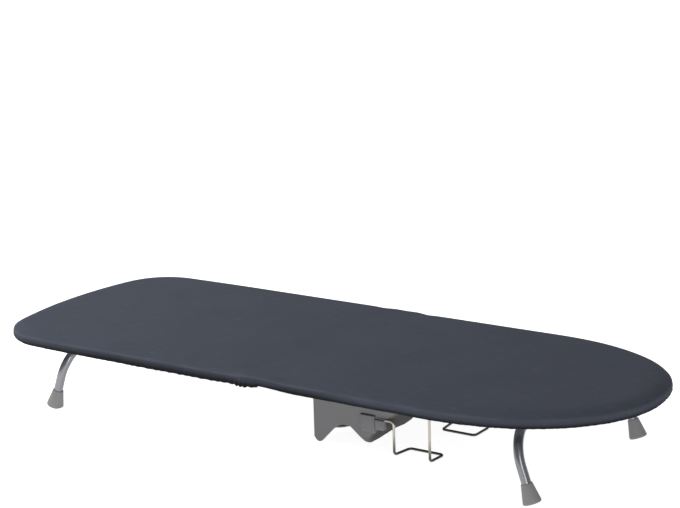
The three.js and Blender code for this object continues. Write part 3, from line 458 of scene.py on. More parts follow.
def plate_of(loops: Sequence[Sequence[Vector]], thickness: float) -> Shape:
    """A flat plate with holes.

    Args:
        loops: The outline and the holes, each a closed run of points in one plane.
        thickness: How far the plate stands up from its points, along its normal.

    Returns:
        The plate.
    """
    bm = bmesh.new()
    for loop in loops:
        verts = [bm.verts.new(p) for p in loop]
        for first, second in zip(verts, verts[1:] + verts[:1]):
            bm.edges.new((first, second))
    bmesh.ops.triangle_fill(bm, use_beauty=True, use_dissolve=False, edges=bm.edges[:])
    face_outward(bm)
    bmesh.ops.dissolve_limit(bm, angle_limit=math.radians(1), verts=bm.verts[:], edges=bm.edges[:])
    raised = bmesh.ops.extrude_face_region(bm, geom=bm.faces[:])["geom"]
    normal = next(g for g in raised if isinstance(g, bmesh.types.BMFace)).normal.copy()
    bmesh.ops.translate(bm, verts=verts_of(raised), vec=normal * thickness)
    face_outward(bm)
    return bm


def merged(shapes: Sequence[Shape]) -> Shape:
    """Gather the faces of several bmeshes in one, and free them."""
    whole = bmesh.new()
    for shape in shapes:
        mesh = bpy.data.meshes.new("gathered")
        shape.to_mesh(mesh)
        shape.free()
        whole.from_mesh(mesh)
        bpy.data.meshes.remove(mesh)
    return whole


def rounded(corners: Sequence[Vector], radius: float, steps: int, loop: bool = False) -> list[Vector]:
    """Round the corners of a route.

    Args:
        corners: The route's corners.
        radius: The bends' radius.
        steps: Points along each bend.
        loop: Whether the route is closed.

    Returns:
        The route's points.
    """
    count = len(corners)
    route = []
    for k, corner in enumerate(corners):
        if not loop and k in (0, count - 1):
            route.append(corner.copy())
            continue
        arriving = (corner - corners[k - 1]).normalized()
        leaving = (corners[(k + 1) % count] - corner).normalized()
        turn = arriving.angle(leaving)
        start = corner - arriving * radius * math.tan(turn / 2)
        inward = (leaving - arriving * arriving.dot(leaving)).normalized()
        for step in range(steps + 1):
            angle = turn * step / steps
            route.append(start + radius * (arriving * math.sin(angle) + inward * (1 - math.cos(angle))))
    return route


def swept(name: str, route: Sequence[Vector], radius: float, finish: Finish) -> Piece:
    """A round bar along a route.

    Args:
        name: The piece's name.
        route: Its centreline.
        radius: Its radius.
        finish: Its finish.

    Returns:
        The piece, as a mesh.
    """
    curve = centreline(name, route, radius)
    source = bpy.data.objects.new(name + "_line", curve)
    bpy.context.scene.collection.objects.link(source)
    bpy.context.view_layer.update()
    mesh = bpy.data.meshes.new_from_object(source.evaluated_get(bpy.context.evaluated_depsgraph_get()))
    bpy.data.objects.remove(source)
    return show(mesh, name, finish, crease=50.0)


def centreline(name: str, route: Sequence[Vector], radius: float) -> bpy.types.Curve:
    """A curve of one open spline along a route, with a round section."""
    curve = bpy.data.curves.new(name, "CURVE")
    curve.dimensions = "3D"
    curve.bevel_depth = radius
    curve.bevel_resolution = 6
    curve.use_fill_caps = True
    spline = curve.splines.new("POLY")
    spline.points.add(len(route) - 1)
    for knot, place in zip(spline.points, route):
        knot.co = (*place, 1.0)
    spline.use_smooth = True
    return curve


# Board

# The blunt half's cloth: its length, corner radius and end radius.
BOWED_END = (0.4575, 0.0795, 0.52)
# How many phases the waves of a layer's cloth draw.
PHASES = 12
# The slanting direction in which a settling piece's elements are sorted.
ORDER = (1.0, 0.7548776662, 0.5698402910)


class Phase(IntEnum):
    """Where each wave of the cloth has its phases."""

    WIDE = 0
    FINE = 2
    TIGHT = 4
    BROAD = 6
    HOLLOW = 8


@dataclass
class Outline:
    """A half's edge in its own axes, from the near fold corner round its end to the far one."""

    half: Half
    width: float = 0.342
    length: float = 0.454
    nose_start: float = 0.232
    nose_powers: Pair = (2.2, 2.1)
    corner_radius: float = 0.074
    end_radius: float = 1.047
    samples: int = 240
    turn_in: float = 0.03
    tip_power: int = 3

    def __post_init__(self) -> None:
        """Lay out the edge's points, normals and running lengths."""
        places, normals = self.nose_end() if self.half is Half.NOSE else self.blunt_end()
        side = self.width / 2
        self.places = np.vstack([[0.0, -side], places, [0.0, side]])
        self.normals = np.vstack([[0.0, -1.0], normals, [0.0, 1.0]])
        steps = np.linalg.norm(np.diff(self.places, axis=0), axis=1)
        self.reach = np.concatenate([[0.0], np.cumsum(steps)])

    @property
    def girth(self) -> float:
        """The edge's whole length."""
        return float(self.reach[-1])

    def nose_end(self) -> tuple[np.ndarray, np.ndarray]:
        """The nose as a superellipse: its points and normals."""
        angle = np.linspace(-math.pi / 2, math.pi / 2, 2 * self.samples + 1)
        px, py = self.nose_powers
        reach, half = self.length - self.nose_start, self.width / 2
        along = np.clip(np.cos(angle), 0, None) ** (2 / px)
        across = np.abs(np.sin(angle)) ** (2 / py)
        side = np.sign(np.sin(angle))
        normals = np.stack([px / reach * along ** (px - 1), side * py / half * across ** (py - 1)], axis=1)
        normals /= np.linalg.norm(normals, axis=1)[:, None]
        return np.stack([self.nose_start + reach * along, side * half * across], axis=1), normals

    def blunt_end(self) -> tuple[np.ndarray, np.ndarray]:
        """The blunt end as two round corners and a bowed edge: its points and normals."""
        corner_y = self.width / 2 - self.corner_radius
        bow_x = self.length - self.end_radius
        inner = self.end_radius - self.corner_radius
        corner_x = bow_x + math.sqrt(inner ** 2 - corner_y ** 2)
        bow = math.asin(corner_y / inner)
        places, normals = [], []
        for x, y, radius, start, end in (
                (corner_x, -corner_y, self.corner_radius, -math.pi / 2, -bow),
                (bow_x, 0.0, self.end_radius, -bow, bow),
                (corner_x, corner_y, self.corner_radius, bow, math.pi / 2)):
            for angle in np.linspace(start, end, self.samples):
                normals.append((math.cos(angle), math.sin(angle)))
                places.append((x + radius * normals[-1][0], y + radius * normals[-1][1]))
        return np.array(places), np.array(normals)

    def normal(self, along: float) -> Vector:
        """The outward direction at a length along the edge."""
        return Vector((*(np.interp(along, self.reach, self.normals[:, k]) for k in (0, 1)), 0.0)).normalized()

    def at(self, along: float, inset: float = 0.0) -> Vector:
        """A point of the edge.

        Args:
            along: The length along the edge.
            inset: How far the point lies inside it.

        Returns:
            The point, at height 0.
        """
        place = Vector((*(np.interp(along, self.reach, self.places[:, k]) for k in (0, 1)), 0.0))
        return place - inset * self.normal(along)

    def depth(self, place: Vector) -> tuple[float, Vector]:
        """How far a point lies inside the edge, and the outward direction there."""
        gaps = np.array(place.xy) - self.places
        nearest = int(np.argmin((gaps ** 2).sum(axis=1)))
        return -float(gaps[nearest] @ self.normals[nearest]), Vector((*self.normals[nearest], 0.0))

    def curved(self, along: float) -> float:
        """0 on the straight sides, rising to 1 round the end."""
        straight = self.nose_start if self.half is Half.NOSE else self.length - self.corner_radius
        return min(1.0, max(0.0, (min(along, self.girth - along) - straight) / self.turn_in))

    def patch(self, stations: Sequence[float], rows: int, inset: float) -> Shape:
        """A grid of faces that fills the outline, with each rim vertex's length along the edge in a layer.

        Args:
            stations: Lengths along both long sides, from the fold, where the grid has columns.
            rows: Faces across the board.
            inset: How far the grid's rim lies inside the edge.

        Returns:
            The grid, at height 0.
        """
        bm = bmesh.new()
        layer = bm.verts.layers.float.new("along")
        columns = len(stations) - 1
        bmesh.ops.create_grid(bm, x_segments=columns, y_segments=rows, size=0.5)
        reach = stations[-1]
        span = self.girth - 2 * reach
        corners = self.at(reach, inset), self.at(self.girth - reach, inset)
        for vert in bm.verts:
            column = round((vert.co.x + 0.5) * columns)
            row = round((vert.co.y + 0.5) * rows)
            station, share = stations[column], row / rows
            tip = self.at(reach + share * span, inset) - corners[0].lerp(corners[1], share)
            side = self.at(station, inset).lerp(self.at(self.girth - station, inset), share)
            vert.co = side + tip * (station / reach) ** self.tip_power
            vert[layer] = -1.0
            if row == 0:
                vert[layer] = station
            elif row == rows:
                vert[layer] = self.girth - station
            elif column == columns:
                vert[layer] = reach + share * span
        return bm


def cloth_outline(half: Half) -> Outline:
    """The outline of a half's cloth, which is drawn taut and bowed at the blunt end."""
    if half is Half.NOSE:
        return Outline(half)
    length, corner_radius, end_radius = BOWED_END
    return Outline(half, length=length, corner_radius=corner_radius, end_radius=end_radius)


def drawn_in(places: Sequence[Vector], half: Half) -> list[Vector]:
    """Move points of the steel in where the cloth's outline lies inside the solids'.

    Args:
        places: The points, in the half's own axes.
        half: The half.

    Returns:
        The points, as far inside the cloth's outline as they were inside the solids', or where they were.
    """
    solid, cloth = Outline(half), cloth_outline(half)
    moved = []
    for place in places:
        depth, normal = cloth.depth(place)
        moved.append(place - max(0.0, solid.depth(place)[0] - depth) * normal)
    return moved


@dataclass
class Layer:
    """A layer that fills a half and is drawn down over its edge."""

    half: Half
    top: float = 0.112
    shoulder: float = 0.0124
    fold: float = 0.0
    column: float = 0.003
    rows: int = 72
    side_share: float = 0.4
    close_column: float = 0.0015
    close_columns: int = 28
    drift: Pair = (1.3, 3.7)
    seed: int = 7
    outline: Outline = field(init=False)

    def __post_init__(self) -> None:
        """Lay out the outline and draw the phases of the cloth's waves."""
        self.outline = cloth_outline(self.half)
        draw = random.Random(self.seed)
        self.phases = [draw.uniform(0, 2 * math.pi) for _ in range(PHASES)]

    @property
    def sense(self) -> int:
        """The sign of the frame's X on this half."""
        return 1 if self.half is Half.NOSE else -1

    def stations(self) -> list[float]:
        """Lengths along the sides where the grid has columns, closer at the fold."""
        reach = self.side_share * self.outline.girth
        close = [self.fold + self.close_column * k for k in range(self.close_columns + 1)]
        count = round((reach - close[-1]) / self.column)
        return close + [close[-1] + k * (reach - close[-1]) / count for k in range(1, count + 1)]

    def wave(self, along: float, pitch: float, phase: Phase) -> float:
        """An uneven wave along the edge, from 0 to 1."""
        reach, length = self.drift
        drift = reach * math.sin(2 * math.pi * along / (length * pitch) + self.phases[phase + 1])
        return 0.5 + 0.5 * math.sin(2 * math.pi * along / pitch + self.phases[phase] + drift)

    def from_fold(self, along: float) -> float:
        """How far along its side a point of the edge lies from the fold."""
        return min(along, self.outline.girth - along)

    def draped(self, rings: Sequence[Triple]) -> tuple[Shape, list]:
        """The layer's top and the skirt that is drawn down round it.

        Args:
            rings: The skirt's rings, each with its inset, its height and its distance from the fold.

        Returns:
            The bmesh, and the vertices of its top.
        """
        edge = self.outline
        bm = edge.patch(self.stations(), self.rows, self.shoulder)
        layer = bm.verts.layers.float["along"]
        flat = bm.verts.layers.float_vector.new("flat")
        # Layers of painted highlight along the crease and painted shade down the side and under the edge.
        crease_highlight, painted_shade = (bm.verts.layers.float.new(name) for name in ("crease_highlight", "painted_shade"))
        for vert in bm.verts:
            vert[flat] = self.sense * vert.co
            vert.co.z = self.height(self.sense * vert.co.x, self.sense * vert.co.y)
        top = bm.verts[:]
        run = [e for e in bm.edges if e.is_boundary and all(v[layer] >= 0 for v in e.verts)]
        drawn, last = 0.0, (self.shoulder, self.top)
        for inset, height, gap in rings:
            drawn += math.hypot(inset - last[0], height - last[1])
            last = (inset, height)
            run = [e for e in run if min(self.from_fold(v[layer]) for v in e.verts) >= gap - TINY]
            verts, run = grown(bm, run)
            for vert in verts:
                along = vert[layer]
                vert[flat] = self.sense * (edge.at(along, self.shoulder) + edge.normal(along) * drawn)
                vert[crease_highlight], vert[painted_shade] = self.toned(along, drawn)
                formed = self.formed(along, drawn, inset, height)
                vert.co = edge.at(along, formed[0])
                vert.co.z = formed[1]
        return bm, top

    def height(self, x: float, y: float) -> float:
        """The height of the layer's top at a place in the frame."""
        return self.top

    def formed(self, along: float, drawn: float, inset: float, height: float) -> Pair:
        """The inset and height at which a point of the skirt comes to lie."""
        return inset, height

    def toned(self, along: float, drawn: float) -> Pair:
        """How much painted highlight and how much painted shade a point of the skirt gets, each from 0 to 1.
        """
        return 0.0, 0.0

    def unwrapped(self, bm: Shape) -> None:
        """Give each face its place in the flat cut as its UV."""
        flat = bm.verts.layers.float_vector["flat"]
        uv = bm.loops.layers.uv.new("flat_cut")
        for face in bm.faces:
            for loop in face.loops:
                loop[uv].uv = loop.vert[flat].xy


def ease(value: float, start: float, end: float) -> float:
    """0 up to start and 1 from end on, with a smooth step between them."""
    share = min(1.0, max(0.0, (value - start) / (end - start)))
    return share * share * (3 - 2 * share)


def put_in_order(bm: Shape) -> None:
    """Sort a shape's elements by their places alone, so that its cloth settles alike in each run."""
    slant = Vector(ORDER)
    bm.verts.sort(key=lambda v: v.co.dot(slant))
    bm.edges.sort(key=lambda e: (e.verts[0].co + e.verts[1].co).dot(slant))
    bm.faces.sort(key=lambda f: f.calc_center_median().dot(slant))
    bm.verts.index_update()


def settle(piece: Piece, held: Sequence[int], pressure: float, most: float,
           frames: int = 14) -> None:
    """Let a taut piece find its shape as cloth under a light pressure from inside.

    Args:
        piece: The piece, whose mesh takes the result.
        held: Vertices that stay where they are.
        pressure: The pressure.
        most: How far a point may move.
        frames: Steps of the simulation.
    """
    mesh, scene = piece.data, bpy.context.scene
    group = piece.vertex_groups.new(name="held")
    group.add(list(held), 1.0, "REPLACE")
    cloth = piece.modifiers.new("settle", "CLOTH")
    cloth.settings.quality = 5
    cloth.settings.mass = 0.15
    cloth.settings.tension_stiffness = cloth.settings.compression_stiffness = 30.0
    cloth.settings.bending_stiffness = 1.5
    cloth.settings.vertex_group_mass = group.name
    cloth.settings.use_pressure = True
    cloth.settings.uniform_pressure_force = pressure
    cloth.settings.effector_weights.gravity = 0.0
    cloth.point_cache.frame_end = frames
    rest = np.empty(3 * len(mesh.vertices))
    mesh.vertices.foreach_get("co", rest)
    moved = rest.copy()
    for step in range(1, frames + 1):
        scene.frame_set(step)
    piece.evaluated_get(bpy.context.evaluated_depsgraph_get()).data.vertices.foreach_get("co", moved)
    piece.modifiers.remove(cloth)
    piece.vertex_groups.remove(group)
    scene.frame_set(1)
    shift = (moved - rest).reshape(-1, 3)
    length = np.linalg.norm(shift, axis=1)
    shift *= np.minimum(1.0, most / np.maximum(length, TINY ** 2))[:, None]
    mesh.vertices.foreach_set("co", (rest.reshape(-1, 3) + shift).ravel())
    mesh.update()
    log.info("%s settled by up to %.2f mm", piece.name, 1000 * min(float(length.max()), most))


@dataclass(frozen=True)
class Drape:
    """How one half's cover lies: lengths, shares, and the distances from the fold over which they come in."""

    rise: float
    rise_band: Pair
    thinning: float
    raised: float
    raised_band: Pair
    sag: float
    # How far the painted shade down the side is softened, and the distances from the fold over which that
    # comes in.
    soft_shade: float
    soft_shade_band: Pair
    bunched: float


DRAPES = {
    Half.NOSE: Drape(
        rise=0.0009, rise_band=(0.012, 0.060), thinning=0.0, raised=0.22, raised_band=(0.004, 0.060),
        sag=0.0003, soft_shade=1.0, soft_shade_band=(0.05, 0.17), bunched=0.0),
    Half.BLUNT: Drape(
        rise=0.0017, rise_band=(0.006, 0.050), thinning=0.5, raised=0.28, raised_band=(0.0, 0.004),
        sag=0.0013, soft_shade=0.6, soft_shade_band=(0.22, 0.36), bunched=1.0),
}


@dataclass(frozen=True)
class Gathers:
    """The waves of a cover's skirt: their pitches, their depths and the lengths over which they come in."""

    broad_pitch: float = 0.118
    wide_pitch: float = 0.046
    fine_pitch: float = 0.0125
    fine_closer: float = 0.0035
    tight_pitch: float = 0.0078
    fold_run: float = 0.014
    over_share: float = 0.3
    down_lead: float = 0.002
    under_run: float = 0.010
    bunch_place: float = 0.026
    bunch_width: float = 0.016
    bunch_hang: float = 0.0006
    bunch_depth: float = 0.0020
    fray_in: Pair = (0.03, 0.06)
    fray_out: Pair = (0.12, 0.30)
    fray_depth: float = 0.0006
    hem_fine: float = 0.0006
    hem_fine_end: float = 0.0009
    hem_wide: float = 0.0004
    out_broad: float = 0.0006
    out_wide: float = 0.0004
    out_fine: float = 0.0003
    out_fine_end: float = 0.0004


@dataclass(frozen=True)
class Tones:
    """Where a cover's skirt gets a painted highlight and where painted shade, as shares and lengths of cloth.
    """

    highlight_least: float = 0.55
    highlight_most: float = 0.45
    highlight_pitch: float = 0.083
    highlight_width: float = 0.0017
    crease_share: float = 0.4
    crease_run: float = 0.002
    turn_lead: float = 0.003
    soft_shade_share: float = 0.2
    soft_shade_start: float = 0.008
    soft_shade_end: float = 0.002
    hem_share: float = 0.8
    hem_lead: float = 0.001
    hem_run: float = 0.004


@dataclass
class ClothCover(Layer):
    """A cotton cover, taut over the pad, with its hem turned under and gathered."""

    shoulder: float = 0.022
    thickness: float = 0.0008
    section_mm: tuple[Pair, ...] = (
        (19.0, 111.97), (16.0, 111.8), (13.0, 111.3), (10.0, 110.5), (7.5, 109.55), (5.0, 108.45),
        (3.0, 107.5), (1.2, 106.6), (-0.2, 105.8), (-1.0, 105.0), (-1.4, 103.9), (-1.6, 102.6),
        (-1.65, 100.6), (-1.5, 98.6), (-1.1, 96.9), (-0.3, 95.4), (0.9, 94.3), (2.6, 93.7),
        (4.6, 93.65), (7.0, 93.8), (9.5, 94.0), (12.5, 94.0), (15.0, 94.0), (17.5, 94.0), (20.0, 94.0))
    crease_ring: int = 9
    widest_ring: int = 12
    turn_ring: int = 16
    hem_ring: int = 18
    full_edge: Pair = (0.0085, 0.0070)
    full_past: float = 0.0015
    full_band: Pair = (0.014, 0.045)
    ridge: float = 0.1035
    hem_height: float = 0.094
    hem_width: float = 0.020
    hem_start: float = 0.017
    hem_full: float = 0.036
    hem_least: float = 0.25
    bend: float = 0.019
    loft_range: Pair = (0.104, 0.111)
    sink: float = 0.0014
    dip_band: Pair = (0.016, 0.050)
    sink_band: Pair = (0.110, 0.150)
    sag_band: Pair = (0.02, 0.08)
    end_band: Pair = (0.26, 0.40)
    hollow_waves: Triple = (0.041, 0.037, 0.027)
    hollow_skew: float = 0.6
    hollow_depth: float = 0.0001
    pressure: float = 0.25
    swell: float = 0.00015
    gathers: Gathers = Gathers()
    tones: Tones = Tones()

    def __post_init__(self) -> None:
        """Measure how much cloth lies above the crease and above the hem's turn."""
        super().__post_init__()
        self.drape = DRAPES[self.half]
        rings = [(self.shoulder, self.top)] + [(i * MM, z * MM) for i, z in self.section_mm]
        drawn = np.cumsum([math.hypot(a[0] - b[0], a[1] - b[1]) for a, b in zip(rings, rings[1:])])
        self.crease, self.turned = float(drawn[self.crease_ring]), float(drawn[self.turn_ring])

    def profile(self) -> list[Triple]:
        """The skirt's rings: over the shoulder, down the side and under to the hem."""
        return [(inset * MM, height * MM, self.hem_start if ring >= self.hem_ring else 0.0)
                for ring, (inset, height) in enumerate(self.section_mm)]

    def full(self, inset: float) -> float:
        """The height of the fuller edge over the hinge."""
        width, height = self.full_edge
        share = 1 - min(1.0, (inset - self.section_mm[self.widest_ring][0] * MM) / width)
        return self.top - height * (1 - math.sqrt(max(0.0, 1 - share * share)))

    def dip(self, x: float) -> float:
        """How far the cover's edge sinks beside the fold, as a share."""
        return 1 - ease(abs(x), *self.dip_band)

    def lofted(self, from_fold: float) -> float:
        """How far the padding lifts the top, which lies lower at the fold and thins towards the blunt end."""
        thinned = 1 - self.drape.thinning * ease(from_fold, *self.end_band)
        return self.drape.rise * ease(from_fold, *self.drape.rise_band) * thinned

    def height(self, x: float, y: float) -> float:
        """The top, with faint hollows, which sinks a little at the fold's ends."""
        along, across, slanting = self.hollow_waves
        first, second, third = self.phases[Phase.HOLLOW:Phase.HOLLOW + 3]
        hollow = math.sin(x / along + first) * math.sin(y / across + second)
        hollow += math.sin((x + self.hollow_skew * y) / slanting + third)
        sunk = self.sink * self.dip(x) * ease(abs(y), *self.sink_band)
        return self.top + self.lofted(abs(x)) + self.hollow_depth * hollow - sunk

    def raised(self, from_fold: float) -> float:
        """The share of the skirt that is drawn up beside the fold."""
        return self.drape.raised * (1 - ease(from_fold, *self.drape.raised_band))

    def sagged(self, from_fold: float) -> float:
        """How far the skirt hangs down along the straight sides."""
        return self.drape.sag * ease(from_fold, *self.sag_band) * (1 - ease(from_fold, *self.end_band))

    def toned(self, along: float, drawn: float) -> Pair:
        """How much painted highlight a point of the skirt gets along the crease, and how much painted shade
        down the side and under the edge, each from 0 to 1.
        """
        tones, creased = self.tones, self.crease + self.tones.crease_run
        patchy = tones.highlight_least + tones.highlight_most * self.wave(along, tones.highlight_pitch, Phase.TIGHT)
        shade_softness = self.drape.soft_shade * ease(self.from_fold(along), *self.drape.soft_shade_band)
        # Painted shade down the side, sharp near the fold and softer away from it, lighter on the hem's
        # underside.
        sharp = tones.crease_share * ease(drawn, self.crease, creased)
        sharp += (1 - tones.crease_share) * ease(drawn, creased, self.turned - tones.turn_lead)
        soft = tones.soft_shade_share * ease(drawn, self.crease, self.turned)
        last = self.turned - tones.soft_shade_start, self.turned - tones.soft_shade_end
        soft += (1 - tones.soft_shade_share) * ease(drawn, *last)
        shown = tones.hem_share * ease(drawn, self.turned - tones.hem_lead, self.turned + tones.hem_run)
        # Painted highlight along the crease, patchy along the edge.
        crease_highlight = patchy * math.exp(-((drawn - self.crease) / tones.highlight_width) ** 2)
        return crease_highlight, ((1 - shade_softness) * sharp + shade_softness * soft) * (1 - shown)

    def formed(self, along: float, drawn: float, inset: float, height: float) -> Pair:
        """Gathers that grow from the edge down to the hem, strongest round the end and beside the fold.

        Args:
            along: The length along the edge.
            drawn: The length of cloth drawn down over the edge.
            inset: The point's inset on the plain profile.
            height: Its height there.

        Returns:
            Its inset and height.
        """
        waves, bunched, from_fold = self.gathers, self.drape.bunched, self.from_fold(along)
        bunch = bunched * math.exp(-((from_fold - waves.bunch_place) / waves.bunch_width) ** 2)
        frayed = bunched * ease(from_fold, *waves.fray_in) * (1 - ease(from_fold, *waves.fray_out))
        end = self.outline.curved(along)
        away = ease(from_fold, 0.0, waves.fold_run)
        broad = away * self.wave(along, waves.broad_pitch, Phase.BROAD)
        wide = away * self.wave(along, waves.wide_pitch, Phase.WIDE)
        fine = away * self.wave(along, waves.fine_pitch - waves.fine_closer * end, Phase.FINE) ** 2
        tight = self.wave(along, waves.tight_pitch, Phase.TIGHT)
        over = ease(drawn, waves.over_share * self.crease, self.crease)
        down = ease(drawn, self.crease - waves.down_lead, self.turned)
        under = ease(drawn, self.turned, self.turned + waves.under_run)
        if drawn < self.crease + self.full_past:
            height += (self.full(inset) - height) * (1 - ease(from_fold, *self.full_band))
        low, high = self.loft_range
        height += self.lofted(from_fold) * min(1.0, max(0.0, (height - low) / (high - low)))
        height -= self.sink * self.dip(from_fold) * (1 - down)
        hanging = self.sagged(from_fold) + bunch * (waves.bunch_hang + waves.bunch_depth * tight)
        hanging += waves.fray_depth * frayed * fine
        height -= down * hanging * (1 - under / 2)
        height -= under * ((waves.hem_fine + waves.hem_fine_end * end) * fine + waves.hem_wide * wide)
        if height < self.ridge:
            height += (self.ridge - height) * self.raised(from_fold)
        out = waves.out_wide * wide + (waves.out_fine + waves.out_fine_end * end) * fine
        out = over * waves.out_broad * broad + down * (out + waves.bunch_depth * bunch * tight)
        start = self.section_mm[self.hem_ring][0] * MM
        if under > 0 and inset > start:
            share = self.hem_least + (1 - self.hem_least) * ease(from_fold, self.hem_start, self.hem_full)
            inset = start + (inset - start) * share
        return inset - out, height

    def build(self) -> Piece:
        """Make the cover and join it to its half and the fold's links."""
        bm, top = self.draped(self.profile())
        for vert in bm.verts:
            vert.tag = False
        for vert in top:
            vert.tag = vert.co.x > self.bend
        self.unwrapped(bm)
        face_outward(bm)
        lid = [f for f in bm.faces if f.calc_center_median().z > self.top - MM]
        if sum(f.normal.z * f.calc_area() for f in lid) < 0:
            bmesh.ops.reverse_faces(bm, faces=bm.faces[:])
        bmesh.ops.transform(bm, matrix=self.half.turn, verts=bm.verts[:])
        for vert in bm.verts:
            if abs(vert.co.x) < SNAP:
                vert.co.x = 0.0
        put_in_order(bm)
        held = [v.index for v in bm.verts if not v.tag]
        area = sum(f.calc_area() for f in bm.faces)
        cover = publish(bm, f"{self.half.value}_cover_cloth", COTTON, crease=80.0)
        settle(cover, held, pressure=self.pressure, most=self.swell)
        for cut in cover.data.edges:
            cut.use_edge_sharp = all(cover.data.vertices[k].co.x == 0.0 for k in cut.vertices)
        wall = cover.modifiers.new("cloth thickness", "SOLIDIFY")
        wall.thickness = self.thickness
        wall.offset = -1.0
        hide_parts(f"{self.half.value}_cover")
        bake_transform(cover, self.half.body, "fold_link", start=(self.sense * self.bend, 0, self.top),
                 end=(0, 0, self.top))
        return cover


@dataclass
class FeltPad(Layer):
    """A felt pad on the net, which stops short of the fold so that the cover can bend there."""

    top: float = 0.1098
    bottom: float = 0.1056
    shoulder: float = 0.0124
    fold: float = 0.0205
    column: float = 0.008
    close_columns: int = 0
    rows: int = 30
    held_below: float = 0.0005
    pressure: float = 0.4
    swell: float = 0.0004
    section_mm: tuple[Pair, ...] = (
        (9.5, 109.4), (7.5, 108.7), (5.5, 107.7), (4.0, 106.9), (3.2, 106.3), (3.0, 105.9), (3.1, 105.6))

    def profile(self) -> list[Triple]:
        """The pad's rings: over the edge, down the side and back under it."""
        return [(i * MM, z * MM, 0.0) for i, z in self.section_mm] + [(self.shoulder, self.bottom, 0.0)]

    def build(self) -> Piece:
        """Make the pad, let it swell and ride it on its half."""
        bm, top = self.draped(self.profile())
        kept = set(top)
        lid = [f for f in bm.faces if all(v in kept for v in f.verts)]
        under = verts_of(bmesh.ops.duplicate(bm, geom=lid)["geom"])
        bmesh.ops.translate(bm, verts=under, vec=(0, 0, self.bottom - self.top))
        bmesh.ops.remove_doubles(bm, verts=bm.verts[:], dist=TINY)
        close_holes(bm)
        face_outward(bm)
        bmesh.ops.transform(bm, matrix=self.half.turn, verts=bm.verts[:])
        put_in_order(bm)
        held = [v.index for v in bm.verts if v.co.z < self.top - self.held_below]
        pad = publish(bm, f"{self.half.value}_felt_pad", FELT, crease=60.0)
        settle(pad, held, pressure=self.pressure, most=self.swell)
        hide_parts(f"{self.half.value}_pad")
        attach(pad, self.half.body)
        return pad


